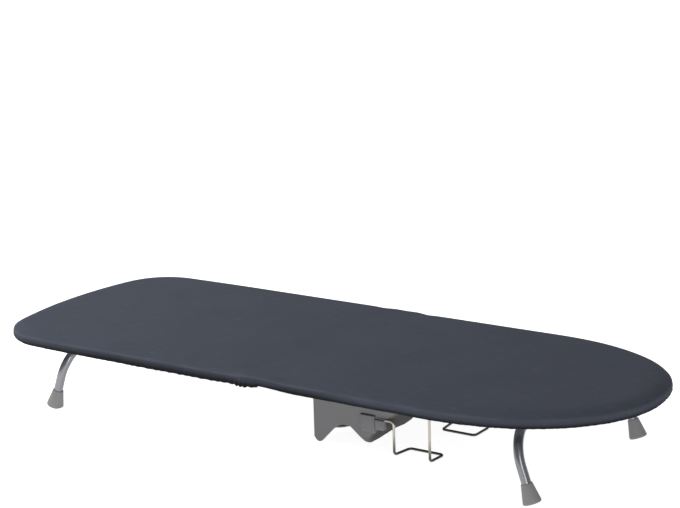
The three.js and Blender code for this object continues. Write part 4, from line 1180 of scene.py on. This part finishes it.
@dataclass
class SteamNet:
    """Flattened expanded steel in a half's rim, with a solid border."""

    half: Half
    inset: float = 0.0043
    fold: float = 0.0042
    border: float = 0.007
    pitch: Pair = (0.0128, 0.0215)
    strand: float = 0.0034
    bottom: float = 0.1036
    thickness: float = 0.0016
    strand_thickness: float = 0.0012
    strip_end: float = 0.0225
    strip_thickness: float = 0.0014
    notch: Pair = (0.0145, 0.1606)
    cells: int = 60
    cells_middle: float = 0.227
    edge_points: int = 120
    margin: float = 0.001
    corner_margins: Pair = (0.003, 0.001)
    notch_ease: float = 0.0006

    def build(self) -> Piece:
        """Make the net and ride it on its half."""
        rim = self.rim()
        bm = merged([self.border_strip(rim), self.fold_strip(), self.strands(rim)])
        bmesh.ops.transform(bm, matrix=self.half.turn, verts=bm.verts[:])
        net = publish(bm, f"{self.half.value}_expanded_net", NET_COAT)
        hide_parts(f"{self.half.value}_net")
        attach(net, self.half.body)
        return net

    def rim(self) -> list[Vector]:
        """The net's outline, with its two corners at the fold cut away."""
        outline = Outline(self.half)
        x, y = self.notch
        run = (outline.girth - 2 * x) / self.edge_points
        edge = [outline.at(x + k * run, self.inset) for k in range(self.edge_points + 1)]
        near, far = ([Vector((at, side * y, 0)) for at in (self.fold, x)] for side in SIDES)
        return [*near, *drawn_in(edge, self.half), *reversed(far)]

    def border_strip(self, rim: Sequence[Vector]) -> Shape:
        """The solid border along the net's outline."""
        bm = bmesh.new()
        face = bm.faces.new([bm.verts.new(p) for p in rim])
        bmesh.ops.inset_region(bm, faces=[face], thickness=self.border, use_even_offset=True,
                               use_boundary=True)
        bmesh.ops.delete(bm, geom=[face], context="FACES")
        self.thicken(bm, self.thickness, self.bottom)
        return bm

    def fold_strip(self) -> Shape:
        """The unslit strip beside the fold, where no felt lies on the net."""
        bm = bmesh.new()
        start, side = self.fold + self.border / 2, self.notch[1] - self.border / 2
        corners = ((start, -side), (self.strip_end, -side), (self.strip_end, side), (start, side))
        bm.faces.new([bm.verts.new((x, y, 0)) for x, y in corners])
        self.thicken(bm, self.strip_thickness, self.bottom + (self.thickness - self.strip_thickness) / 2)
        return bm

    def thicken(self, bm: Shape, thickness: float, bottom: float) -> None:
        """Give flat faces at height 0 a thickness, and set their underside at a height."""
        face_outward(bm)
        raised = bmesh.ops.extrude_face_region(bm, geom=bm.faces[:])["geom"]
        bmesh.ops.translate(bm, verts=verts_of(raised), vec=(0, 0, thickness))
        bmesh.ops.translate(bm, verts=bm.verts[:], vec=(0, 0, bottom))
        face_outward(bm)

    def strands(self, rim: Sequence[Vector]) -> Shape:
        """The diamonds inside the net's outline, cut out of a slanting grid."""
        bm = bmesh.new()
        bmesh.ops.create_grid(bm, x_segments=self.cells, y_segments=self.cells, size=0.5)
        px, py = (self.cells * p / 2 for p in self.pitch)
        slant = Matrix(((px, px, 0, self.cells_middle), (-py, py, 0, 0), (0, 0, 1, 0), (0, 0, 0, 1)))
        bmesh.ops.transform(bm, matrix=slant, verts=bm.verts[:])
        places = np.array([v.co.xy for v in bm.verts])
        loop = np.array([p.xy for p in rim])
        inside = np.ones(len(places), bool)
        for first, second in zip(loop, np.roll(loop, -1, axis=0)):
            step = second - first
            span = np.linalg.norm(step)
            notched = abs(first[1]) > self.notch[1] - self.notch_ease and first[0] < self.notch[0] + TINY
            if span < TINY or notched:
                continue
            left = step[0] * (places[:, 1] - first[1]) - step[1] * (places[:, 0] - first[0])
            inside &= left > self.margin * span
        along, across = self.corner_margins
        corner = (places[:, 0] < self.notch[0] + along) & (np.abs(places[:, 1]) > self.notch[1] - across)
        inside &= ~corner & (places[:, 0] > self.strip_end - self.pitch[0] / 2)
        bm.verts.ensure_lookup_table()
        gone = [v for v, kept in zip(bm.verts, inside) if not kept]
        bmesh.ops.delete(bm, geom=gone, context="VERTS")
        holes = bm.faces[:]
        bmesh.ops.inset_individual(bm, faces=holes, thickness=self.strand / 2, use_even_offset=True)
        bmesh.ops.delete(bm, geom=holes, context="FACES")
        self.thicken(bm, self.strand_thickness, self.bottom + (self.thickness - self.strand_thickness) / 2)
        return bm


# Legs


@dataclass
class LegFrame:
    """A bent tube with two legs and their plastic feet."""

    half: Half
    axis_x: float
    axis_z: float = 0.0875
    span: float = 0.269
    lean: float = math.radians(19)
    length: float = 0.0899
    tube_radius: float = 0.006
    bend_radius: float = 0.046
    bend_steps: int = 28
    sole: float = 0.0083
    foot: tuple[Pair, ...] = (
        (0.0, 0.0), (0.0105, 0.0), (0.0111, 0.0005), (0.0113, 0.0016), (0.0111, 0.0030), (0.0101, 0.0080),
        (0.0091, 0.0130), (0.0081, 0.0180), (0.0073, 0.0222), (0.0070, 0.0236), (0.0067, 0.0240),
        (0.0062, 0.0240), (0.0062, 0.0210))
    foot_sides: int = 40

    def stance(self) -> Matrix:
        """From the leg's own axes, legs along -Z, to the frame's."""
        axis = Matrix.Translation((self.axis_x, 0, self.axis_z))
        return self.half.turn @ axis @ Matrix.Rotation(-self.lean, 4, "Y")

    def build(self) -> list[Piece]:
        """Make the tube and the feet and ride them on the leg's body."""
        stance, name = self.stance(), self.half.value
        side, low = self.span / 2, self.sole - self.length
        corners = [Vector((0, y, z)) for y, z in ((-side, low), (-side, 0.0), (side, 0.0), (side, low))]
        route = [stance @ p for p in rounded(corners, self.bend_radius, self.bend_steps)]
        tube = swept(f"{name}_leg_bent_tube", route, self.tube_radius, SILVER_COAT)
        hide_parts(f"{name}_leg_tube")
        pieces = [tube]
        for end in SIDES:
            place = "near" if (stance @ Vector((0, end, 0))).y < 0 else "far"
            shape = self.foot_shape(stance, end * side)
            foot = publish(shape, f"{name}_foot_cap_{place}", FOOT_PP, crease=40.0)
            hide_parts(f"{name}_foot_{place}")
            pieces.append(foot)
        for piece in pieces:
            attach(piece, f"{name}_leg")
        return pieces

    def foot_shape(self, stance: Matrix, y: float) -> Shape:
        """A turned foot, cut flat where it meets the table.

        Args:
            stance: From the leg's axes to the frame's.
            y: The leg's place along the tube's axis.

        Returns:
            The foot.
        """
        bm = bmesh.new()
        verts = [bm.verts.new((r, y, h - self.length)) for r, h in self.foot]
        edges = [bm.edges.new(pair) for pair in zip(verts, verts[1:])]
        bmesh.ops.spin(bm, geom=verts + edges, cent=(0, y, 0), axis=(0, 0, 1), angle=2 * math.pi,
                       steps=self.foot_sides, use_merge=True)
        bmesh.ops.remove_doubles(bm, verts=bm.verts[:], dist=TINY)
        close_holes(bm)
        bmesh.ops.transform(bm, matrix=stance, verts=bm.verts[:])
        bmesh.ops.bisect_plane(bm, geom=bm.verts[:] + bm.edges[:] + bm.faces[:], plane_co=(0, 0, 0),
                               plane_no=(0, 0, 1), clear_inner=True)
        close_holes(bm)
        face_outward(bm)
        return bm


# Iron holder


@dataclass(frozen=True)
class Opening:
    """A rounded opening in the holder's plate, with its length across the board."""

    x: float
    length: float
    width: float
    radius: float

    def outline(self, height: float, grow: float = 0.0) -> list[Vector]:
        """The opening's outline at a height, wider by a length."""
        length, width = self.length + grow, self.width + grow
        corners = [Vector((self.x + a * width / 2, b * length / 2, height))
                   for a, b in ((-1, -1), (1, -1), (1, 1), (-1, 1))]
        return rounded(corners, self.radius, 4, loop=True)


@dataclass(frozen=True)
class Lug:
    """A pad or clip on the holder's walls: its middle, its length and height, and how far it stands out."""

    x: float
    z: float
    length: float
    height: float
    depth: float


@dataclass
class IronHolder:
    """A moulded holder: a plate under the net, two side walls and a tray for the iron's heel."""

    half_width: float = 0.0705
    wall: float = 0.0024
    top: float = 0.0952
    fold_end: float = 0.0122
    shoulder: float = 0.185
    tip: float = 0.308
    tip_power: float = 0.62
    tip_steps: int = 40
    edge: tuple[Pair, ...] = (
        (0.0122, 0.006), (0.0166, 0.0), (0.0225, 0.0), (0.0412, 0.0192), (0.0480, 0.0250), (0.0560, 0.0282),
        (0.0670, 0.0284), (0.0825, 0.0166), (0.0900, 0.0116), (0.0960, 0.0112), (0.1081, 0.0194),
        (0.1276, 0.0342), (0.1400, 0.0408), (0.1485, 0.0475), (0.1585, 0.0599), (0.1850, 0.0925))
    edge_bend: float = 0.006
    wall_grid: tuple[int, int] = (132, 36)
    wall_round: float = 0.0007
    plate_round: float = 0.0006
    cup_start: float = 0.086
    cup_run: float = 0.018
    cup_width: Pair = (0.008, 0.034)
    cup_depth: Pair = (0.0020, 0.0190)
    cup_shade: Pair = (0.45, 0.85)
    window: Opening = Opening(0.074, 0.125, 0.052, 0.004)
    slot: Opening = Opening(0.219, 0.045, 0.016, 0.002)
    heel_slot: Opening = Opening(0.030, 0.074, 0.011, 0.004)
    rim: Opening = Opening(0.219, 0.045, 0.016, 0.003)
    rim_width: float = 0.005
    rim_drop: float = 0.0012
    rim_height: float = 0.0014
    rim_round: float = 0.0004
    eye_x: float = 0.274
    eye_radius: float = 0.005
    eye_sides: int = 24
    floor: float = 0.006
    floor_corner: float = 0.002
    floor_inset: float = 0.0004
    lip_inset: float = 0.0012
    lip_depth: float = 0.0064
    hump: Pair = (0.016, 0.033)
    hump_power: float = 1.2
    hump_steps: int = 24
    lugs: tuple[Lug, ...] = (
        Lug(0.0955, 0.0370, 0.0220, 0.0230, 0.0050), Lug(0.1145, 0.0383, 0.0135, 0.0140, 0.0070),
        Lug(0.1680, 0.0860, 0.0300, 0.0155, 0.0070))
    lug_root: float = 0.0012
    lug_round: float = 0.0018
    lug_shade_band: float = 0.0015

    def __post_init__(self) -> None:
        """Round the side walls' free edge and measure its slope."""
        route = rounded([Vector((x, 0, z)) for x, z in self.edge], self.edge_bend, 6)
        self.edge_x, self.edge_z = np.array([p.x for p in route]), np.array([p.z for p in route])
        self.edge_slope = np.gradient(self.edge_z, self.edge_x)
        self.low = self.top - self.wall

    def build(self) -> Piece:
        """Make the holder and ride it on the nose half."""
        shapes = [self.side_wall(side) for side in SIDES]
        shapes += [self.plate(), self.slot_rim(), self.end_wall(), self.lip()]
        shapes += [self.lug(side, lug) for side in SIDES for lug in self.lugs]
        holder = publish(merged(shapes), "moulded_iron_holder", GREY_PP)
        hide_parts("iron_holder")
        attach(holder, "nose_half")
        return holder

    def slab(self, loops: Sequence[Sequence[Vector]], axis: int, start: float, rounding: float) -> Shape:
        """A plate as thick as the walls, with rounded edges.

        Args:
            loops: Its outline and holes, in one plane.
            axis: The axis across the plane, 0 for X and 2 for Z.
            start: The plane's place on that axis.
            rounding: The edges' rounding.

        Returns:
            The plate, which stands up from its plane.
        """
        bm = plate_of(loops, self.wall)
        for vert in bm.verts:
            vert.co[axis] = start if abs(vert.co[axis] - start) < TINY else start + self.wall
        face_outward(bm)
        round_edges(bm, rounding)
        return bm

    def plate(self) -> Shape:
        """The plate against the net, shaped like an iron's sole, with its openings."""
        nose = []
        for step in range(self.tip_steps + 1):
            angle = math.radians(-90 + 180 * step / self.tip_steps)
            across = math.copysign(abs(math.sin(angle)) ** (1 / self.tip_power), angle)
            x = self.shoulder + (self.tip - self.shoulder) * math.cos(angle)
            nose.append(Vector((x, self.half_width * across, self.low)))
        near, far = (Vector((self.fold_end, side * self.half_width, self.low)) for side in SIDES)
        eye = [Vector((self.eye_x + self.eye_radius * math.cos(a), self.eye_radius * math.sin(a), self.low))
               for a in np.linspace(0, 2 * math.pi, self.eye_sides, endpoint=False)]
        holes = [opening.outline(self.low) for opening in (self.window, self.slot, self.heel_slot)]
        return self.slab([[near, *nose, far], *holes, eye], 2, self.low, self.plate_round)

    def slot_rim(self) -> Shape:
        """A raised rim round the plate's slot."""
        foot = self.low - self.rim_drop
        bm = plate_of([self.rim.outline(foot, grow) for grow in (self.rim_width, 0.0)], self.rim_height)
        if min(v.co.z for v in bm.verts) < foot - TINY:
            bmesh.ops.translate(bm, verts=bm.verts[:], vec=(0, 0, self.rim_height))
        round_edges(bm, self.rim_round)
        return bm

    def side_wall(self, side: int) -> Shape:
        """The near (-1) or far (1) wall, whose free edge is drawn in under the iron towards the tip."""
        bm = bmesh.new()
        columns, rows = self.wall_grid
        bmesh.ops.create_grid(bm, x_segments=columns, y_segments=rows, size=0.5)
        base = self.top - self.wall / 2
        for vert in bm.verts:
            x = self.fold_end + (vert.co.x + 0.5) * (self.shoulder - self.fold_end)
            z = base + (vert.co.y + 0.5) * (float(np.interp(x, self.edge_x, self.edge_z)) - base)
            vert.co = (x, side * (self.half_width - self.cupped(x, z)[0]), z)
        face_outward(bm)
        if sum(f.normal.y for f in bm.faces) * side > 0:
            bmesh.ops.reverse_faces(bm, faces=bm.faces[:])
        bmesh.ops.solidify(bm, geom=bm.faces[:], thickness=self.wall)
        face_outward(bm)
        round_edges(bm, self.wall_round, sharper=60.0)
        # Painted shade on the cupped part of the wall, darkest near its free edge.
        hollow = bm.verts.layers.float.new("hollow")
        for vert in bm.verts:
            vert[hollow] = self.cupped(vert.co.x, vert.co.z)[1]
        return bm

    def cupped(self, x: float, z: float) -> Pair:
        """How far a side wall is drawn in at a place, and how much painted shade it gets there from 0 to 1.
        """
        slope = float(np.interp(x, self.edge_x, self.edge_slope))
        away = (z - float(np.interp(x, self.edge_x, self.edge_z))) * math.cos(math.atan(slope))
        share = ease(x, self.cup_start, self.shoulder)
        width, depth = (least + share * (most - least) for least, most in (self.cup_width, self.cup_depth))
        begun = ease(x, self.cup_start, self.cup_start + self.cup_run)
        shaded, plain = self.cup_shade
        drawn = depth * max(0.0, 1 - away / width) ** 2
        return begun * drawn, begun * (1 - ease(away, shaded * width, plain * width))

    def end_wall(self) -> Shape:
        """The tray's wall beside the fold, which the iron's heel stands on."""
        side, low, high = self.half_width - self.floor_inset, self.floor, self.top - MM
        places = ((-side, low), (side, low), (side, high), (-side, high))
        corners = [Vector((self.fold_end, y, z)) for y, z in places]
        outline = rounded(corners, self.floor_corner, 4, loop=True)
        return self.slab([outline], 0, self.fold_end, self.wall_round)

    def lip(self) -> Shape:
        """The tray's front lip, with a round hump in the middle."""
        side, front = self.half_width - self.lip_inset, self.fold_end + self.lip_depth
        reach, half = self.hump
        turns = [math.radians(-90 + 180 * step / self.hump_steps) for step in range(self.hump_steps + 1)]
        hump = [(front + reach * math.cos(a) ** self.hump_power, half * math.sin(a)) for a in turns]
        back = self.fold_end + self.floor_inset
        outline = [(back, -side), (front, -side), *hump, (front, side), (back, side)]
        loop = [Vector((x, y, self.floor)) for x, y in outline]
        return self.slab([loop], 2, self.floor, self.wall_round)

    def lug(self, side: int, lug: Lug) -> Shape:
        """A pad or clip, which holds a wire's tail, with a painted shadow along its top edge in place of a
        groove.

        Args:
            side: -1 for the near wall, 1 for the far one.
            lug: Its place and size.

        Returns:
            The pad or clip.
        """
        bm = bmesh.new()
        bmesh.ops.create_cube(bm, size=1.0)
        inner, outer = self.half_width - self.lug_root, self.half_width + lug.depth
        bmesh.ops.scale(bm, vec=(lug.length, outer - inner, lug.height), verts=bm.verts[:])
        bmesh.ops.translate(bm, vec=(lug.x, side * (inner + outer) / 2, lug.z), verts=bm.verts[:])
        round_edges(bm, self.lug_round, segments=3)
        # Painted shadow along the lug's top edge.
        hollow = bm.verts.layers.float.new("hollow")
        for vert in bm.verts:
            vert[hollow] = 1.0 if vert.co.z > lug.z + lug.height / 2 - self.lug_shade_band else 0.0
        return bm


@dataclass
class RetainerWire:
    """A spring wire that stands out from a holder's wall and turns in over the iron."""

    side: int
    radius: float = 0.0017
    bend: float = 0.005
    bend_steps: int = 8
    stand: float = 0.0741
    shelves: Pair = (0.030, 0.036)
    low_ends: Pair = (0.1340, 0.1300)
    high_ends: Pair = (0.1860, 0.1815)
    skews: Pair = (0.0042, 0.0010)
    heights: Pair = (0.0445, 0.083)
    tail: float = 0.025
    floor: float = 0.0023

    def build(self) -> Piece:
        """Make the wire and ride it on the nose half."""
        place, floor = SIDES.index(self.side), self.floor
        outer, inner = self.side * self.stand, self.side * (self.stand - self.shelves[place])
        x0, x1 = self.low_ends[place], self.high_ends[place]
        (z0, z1), (low_skew, high_skew) = self.heights, self.skews
        corners = [Vector(c) for c in (
            (x0 - self.tail, outer, z0), (x0, outer, z0), (x0, outer, floor), (x0 + low_skew, inner, floor),
            (x1 + high_skew, inner, floor), (x1, outer, floor), (x1, outer, z1), (x1 - self.tail, outer, z1))]
        name = "near" if self.side < 0 else "far"
        route = rounded(corners, self.bend, self.bend_steps)
        wire = swept(f"retainer_wire_{name}", route, self.radius, WIRE)
        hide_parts(f"holder_wire_{name}")
        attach(wire, "nose_half")
        return wire


# Small parts


def smoothed(route: Sequence[Vector], steps: int) -> list[Vector]:
    """Lead a smooth line through the points of a route.

    Args:
        route: The points.
        steps: Points of the line for each step of the route.

    Returns:
        The line's points.
    """
    line = []
    for k, (a, b) in enumerate(zip(route, route[1:])):
        before, after = route[max(k - 1, 0)], route[min(k + 2, len(route) - 1)]
        for t in (step / steps for step in range(steps)):
            line.append(0.5 * (2 * a + (b - before) * t + (2 * before - 5 * a + 4 * b - after) * t ** 2
                               + (3 * a - before - 3 * b + after) * t ** 3))
    return [*line, route[-1]]


@dataclass
class Drawcord:
    """The loop of cord that tightens the cover's hem."""

    radius: float = 0.0015
    points: tuple[Triple, ...] = (
        (0.4189, -0.0040, 0.09885), (0.4155, -0.0041, 0.0987), (0.4121, -0.0045, 0.0972),
        (0.4099, -0.0051, 0.0940), (0.4091, -0.0057, 0.0895), (0.4089, -0.0060, 0.0850),
        (0.4089, -0.0055, 0.0812), (0.4089, -0.0036, 0.0781), (0.4089, 0.0, 0.0768))
    steps: int = 3

    def build(self) -> Piece:
        half = [Vector(p) for p in self.points]
        line = smoothed(half + [Vector((p.x, -p.y, p.z)) for p in reversed(half[:-1])], self.steps)
        cord = bpy.data.objects.new("hem_drawcord", centreline("hem_drawcord", line, self.radius))
        cord.data.materials.append(CORD.material())
        bpy.context.scene.collection.objects.link(cord)
        log.info("hem_drawcord: %d points", len(line))
        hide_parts("drawcord_loop")
        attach(cord, "nose_half")
        return cord


@dataclass
class ClosingStrap:
    """Elastic webbing sewn round a pin, which keeps the folded board shut."""

    pin: Pair = (-0.424, 0.0973)
    width: float = 0.015
    eye: float = 0.0027
    eye_points: int = 25
    mouth: float = 0.5
    ply: float = 0.0008
    ply_share: float = 0.52
    drops: Triple = (0.042, 0.012, 0.006)
    columns: int = 10

    def build(self) -> Piece:
        """Make the strap and ride it on its body."""
        x, z = self.pin
        tail = [Vector((x - self.ply_share * self.ply, 0, z - drop)) for drop in self.drops]
        turns = np.linspace(self.mouth, 2 * math.pi - self.mouth, self.eye_points)
        eye = [Vector((x - self.eye * math.sin(a), 0, z - self.eye * math.cos(a))) for a in turns]
        route = tail + eye + [Vector((2 * x - p.x, 0, p.z)) for p in reversed(tail)]
        bm = bmesh.new()
        verts = [bm.verts.new(p - Vector((0, self.width / 2, 0))) for p in route]
        run = [bm.edges.new(pair) for pair in zip(verts, verts[1:])]
        for _ in range(self.columns):
            fresh, run = grown(bm, run)
            bmesh.ops.translate(bm, verts=fresh, vec=(0, self.width / self.columns, 0))
        uv = bm.loops.layers.uv.new("flat_cut")
        for face in bm.faces:
            for loop in face.loops:
                loop[uv].uv = (loop.vert.co.z, loop.vert.co.y)
        face_outward(bm)
        strap = publish(bm, "closing_strap_webbing", ELASTIC, crease=60.0)
        wall = strap.modifiers.new("webbing thickness", "SOLIDIFY")
        wall.thickness = self.ply
        wall.offset = 0.0
        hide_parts("closing_strap")
        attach(strap, "strap")
        return strap


@dataclass
class Fittings:
    """The rigid pieces that keep their solids' shape and get eased edges."""

    ease: float = 0.0004
    flat_within: float = math.radians(0.5)

    def groups(self) -> dict[Finish, list[str]]:
        """The nodes by finish."""
        steel, bright = ([f"{half.value}_{name}" for half in Half for name in names] for names in (
            ("rim", "fold_rail", "leg_crossbar", "bracket_base", "bracket_saddle", "hinge_leaf_near",
             "hinge_leaf_far"),
            ("bracket_rivet_1", "bracket_rivet_2", "bracket_rivet_3", "bracket_rivet_4", "hinge_pin_near",
             "hinge_pin_far", "leg_stop_pin")))
        return {
            GREY_COAT: steel + ["holder_crossbar", "blunt_rest_crossbar", "hinge_link_near", "hinge_link_far",
                                "strap_anchor"],
            NICKEL: bright + ["holder_screw_1", "holder_screw_2", "strap_pin"],
            GREY_PP: ["holder_bar"],
            WHITE_POM: ["drawcord_lock", "strap_hook"],
        }

    def build(self) -> list[Piece]:
        """Make an eased copy of each node and ride it on the node's body."""
        return [self.eased(node, finish) for finish, nodes in self.groups().items() for node in nodes]

    def eased(self, node: str, finish: Finish) -> Piece:
        """A copy of a node with its sharp edges eased, and with the blunt rim drawn in under its cover.

        Args:
            node: The node's name.
            finish: The finish.

        Returns:
            The copy.
        """
        source = frame["nodes"][node]
        bm = bmesh.new()
        bm.from_mesh(source.data)
        bmesh.ops.remove_doubles(bm, verts=bm.verts[:], dist=SNAP)
        bmesh.ops.dissolve_limit(bm, angle_limit=self.flat_within, verts=bm.verts[:], edges=bm.edges[:])
        if node == "blunt_rim":
            turn = Half.BLUNT.turn
            places = drawn_in([turn.inverted() @ v.co for v in bm.verts], Half.BLUNT)
            for vert, place in zip(bm.verts, places):
                vert.co = turn @ place
        round_edges(bm, self.ease, sharper=50.0)
        copy = publish(bm, f"{node}_eased", finish, crease=40.0)
        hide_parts(node)
        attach(copy, source["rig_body"])
        return copy


# Studio


@dataclass(frozen=True)
class SoftBox:
    """A rectangular light that faces the board: its place, its width and height, and its power in watts."""

    name: str
    place: Triple
    size: Pair
    power: float
    aim: Triple = (0.0, 0.0, 0.1)

    def build(self) -> None:
        """Hang the light."""
        data = bpy.data.lights.new(self.name, "AREA")
        data.shape = "RECTANGLE"
        data.size, data.size_y = self.size
        data.energy = self.power
        light = bpy.data.objects.new(self.name, data)
        facing = (Vector(self.aim) - Vector(self.place)).to_track_quat("-Z", "Y")
        light.matrix_world = Matrix.Translation(self.place) @ facing.to_matrix().to_4x4()
        bpy.context.scene.collection.objects.link(light)


@dataclass
class Studio:
    """A pale floor, soft lights and a camera at the photograph's angle."""

    place: Triple = (1.4855, -2.1110, 0.8627)
    yaw: float = math.radians(-34.971)
    pitch: float = math.radians(13.863)
    roll: float = math.radians(-1.653)
    focal_px: float = 2087.3
    image_width_px: float = 680.0
    sensor: float = 36.0
    sight: float = 100.0
    ambient: float = 0.30
    glow: float = 0.88
    floor_size: float = 30.0
    floor_colour: str = "#c8c8c8"
    white: str = "#ffffff"
    lights: tuple[SoftBox, ...] = (
        SoftBox("key", (-1.4, -0.4, 1.6), (1.3, 1.3), 42.0),
        SoftBox("fill", (2.2, -1.9, 0.7), (0.35, 1.2), 16.0))

    def build(self) -> None:
        """Set up the camera, the floor and the lights."""
        self.camera()
        self.floor()
        self.world()
        for light in self.lights:
            light.build()

    def camera(self) -> None:
        """Place the camera."""
        ahead = Vector((math.sin(self.yaw) * math.cos(self.pitch), math.cos(self.yaw) * math.cos(self.pitch),
                        -math.sin(self.pitch)))
        level = Vector((math.cos(self.yaw), -math.sin(self.yaw), 0))
        up = level.cross(ahead)
        right = level * math.cos(self.roll) + up * math.sin(self.roll)
        head = up * math.cos(self.roll) - level * math.sin(self.roll)
        data = bpy.data.cameras.new("camera")
        data.sensor_width = self.sensor
        data.lens = self.focal_px * self.sensor / self.image_width_px
        data.clip_end = self.sight
        camera = bpy.data.objects.new("camera", data)
        facing = Matrix((right, head, -ahead)).transposed().to_4x4()
        camera.matrix_world = Matrix.Translation(self.place) @ facing
        bpy.context.scene.collection.objects.link(camera)
        bpy.context.scene.camera = camera

    def floor(self) -> None:
        """Lay a large pale floor, which glows a little so that shadows stay light."""
        bm = bmesh.new()
        bmesh.ops.create_grid(bm, x_segments=1, y_segments=1, size=self.floor_size)
        mesh = bpy.data.meshes.new("floor")
        bm.to_mesh(mesh)
        bm.free()
        material = bpy.data.materials.new("white backlit floor")
        material.use_nodes = True
        inputs = material.node_tree.nodes["Principled BSDF"].inputs
        for name, value in (("Base Color", linear(self.floor_colour)), ("Roughness", 0.9),
                            ("Specular IOR Level", 0.1), ("Emission Color", linear(self.white)),
                            ("Emission Strength", self.glow)):
            inputs[name].default_value = value
        mesh.materials.append(material)
        floor = bpy.data.objects.new("floor", mesh)
        bpy.context.scene.collection.objects.link(floor)

    def world(self) -> None:
        """Set the light from all round."""
        scene = bpy.context.scene
        world = bpy.data.worlds.new("studio")
        world.use_nodes = True
        inputs = world.node_tree.nodes["Background"].inputs
        inputs["Color"].default_value = linear(self.white)
        inputs["Strength"].default_value = self.ambient
        scene.world = world
        scene.view_settings.view_transform = "Standard"


def main() -> None:
    """Build the studio and every piece of the board."""
    logging.basicConfig(level=logging.INFO, format="%(message)s")
    Studio().build()
    Drawcord().build()
    for half in Half:
        FeltPad(half).build()
        ClothCover(half).build()
        SteamNet(half).build()
    for side in SIDES:
        RetainerWire(side).build()
    LegFrame(Half.NOSE, axis_x=0.334).build()
    LegFrame(Half.BLUNT, axis_x=0.343).build()
    IronHolder().build()
    ClosingStrap().build()
    Fittings().build()


if __name__ == "__main__":
    main()
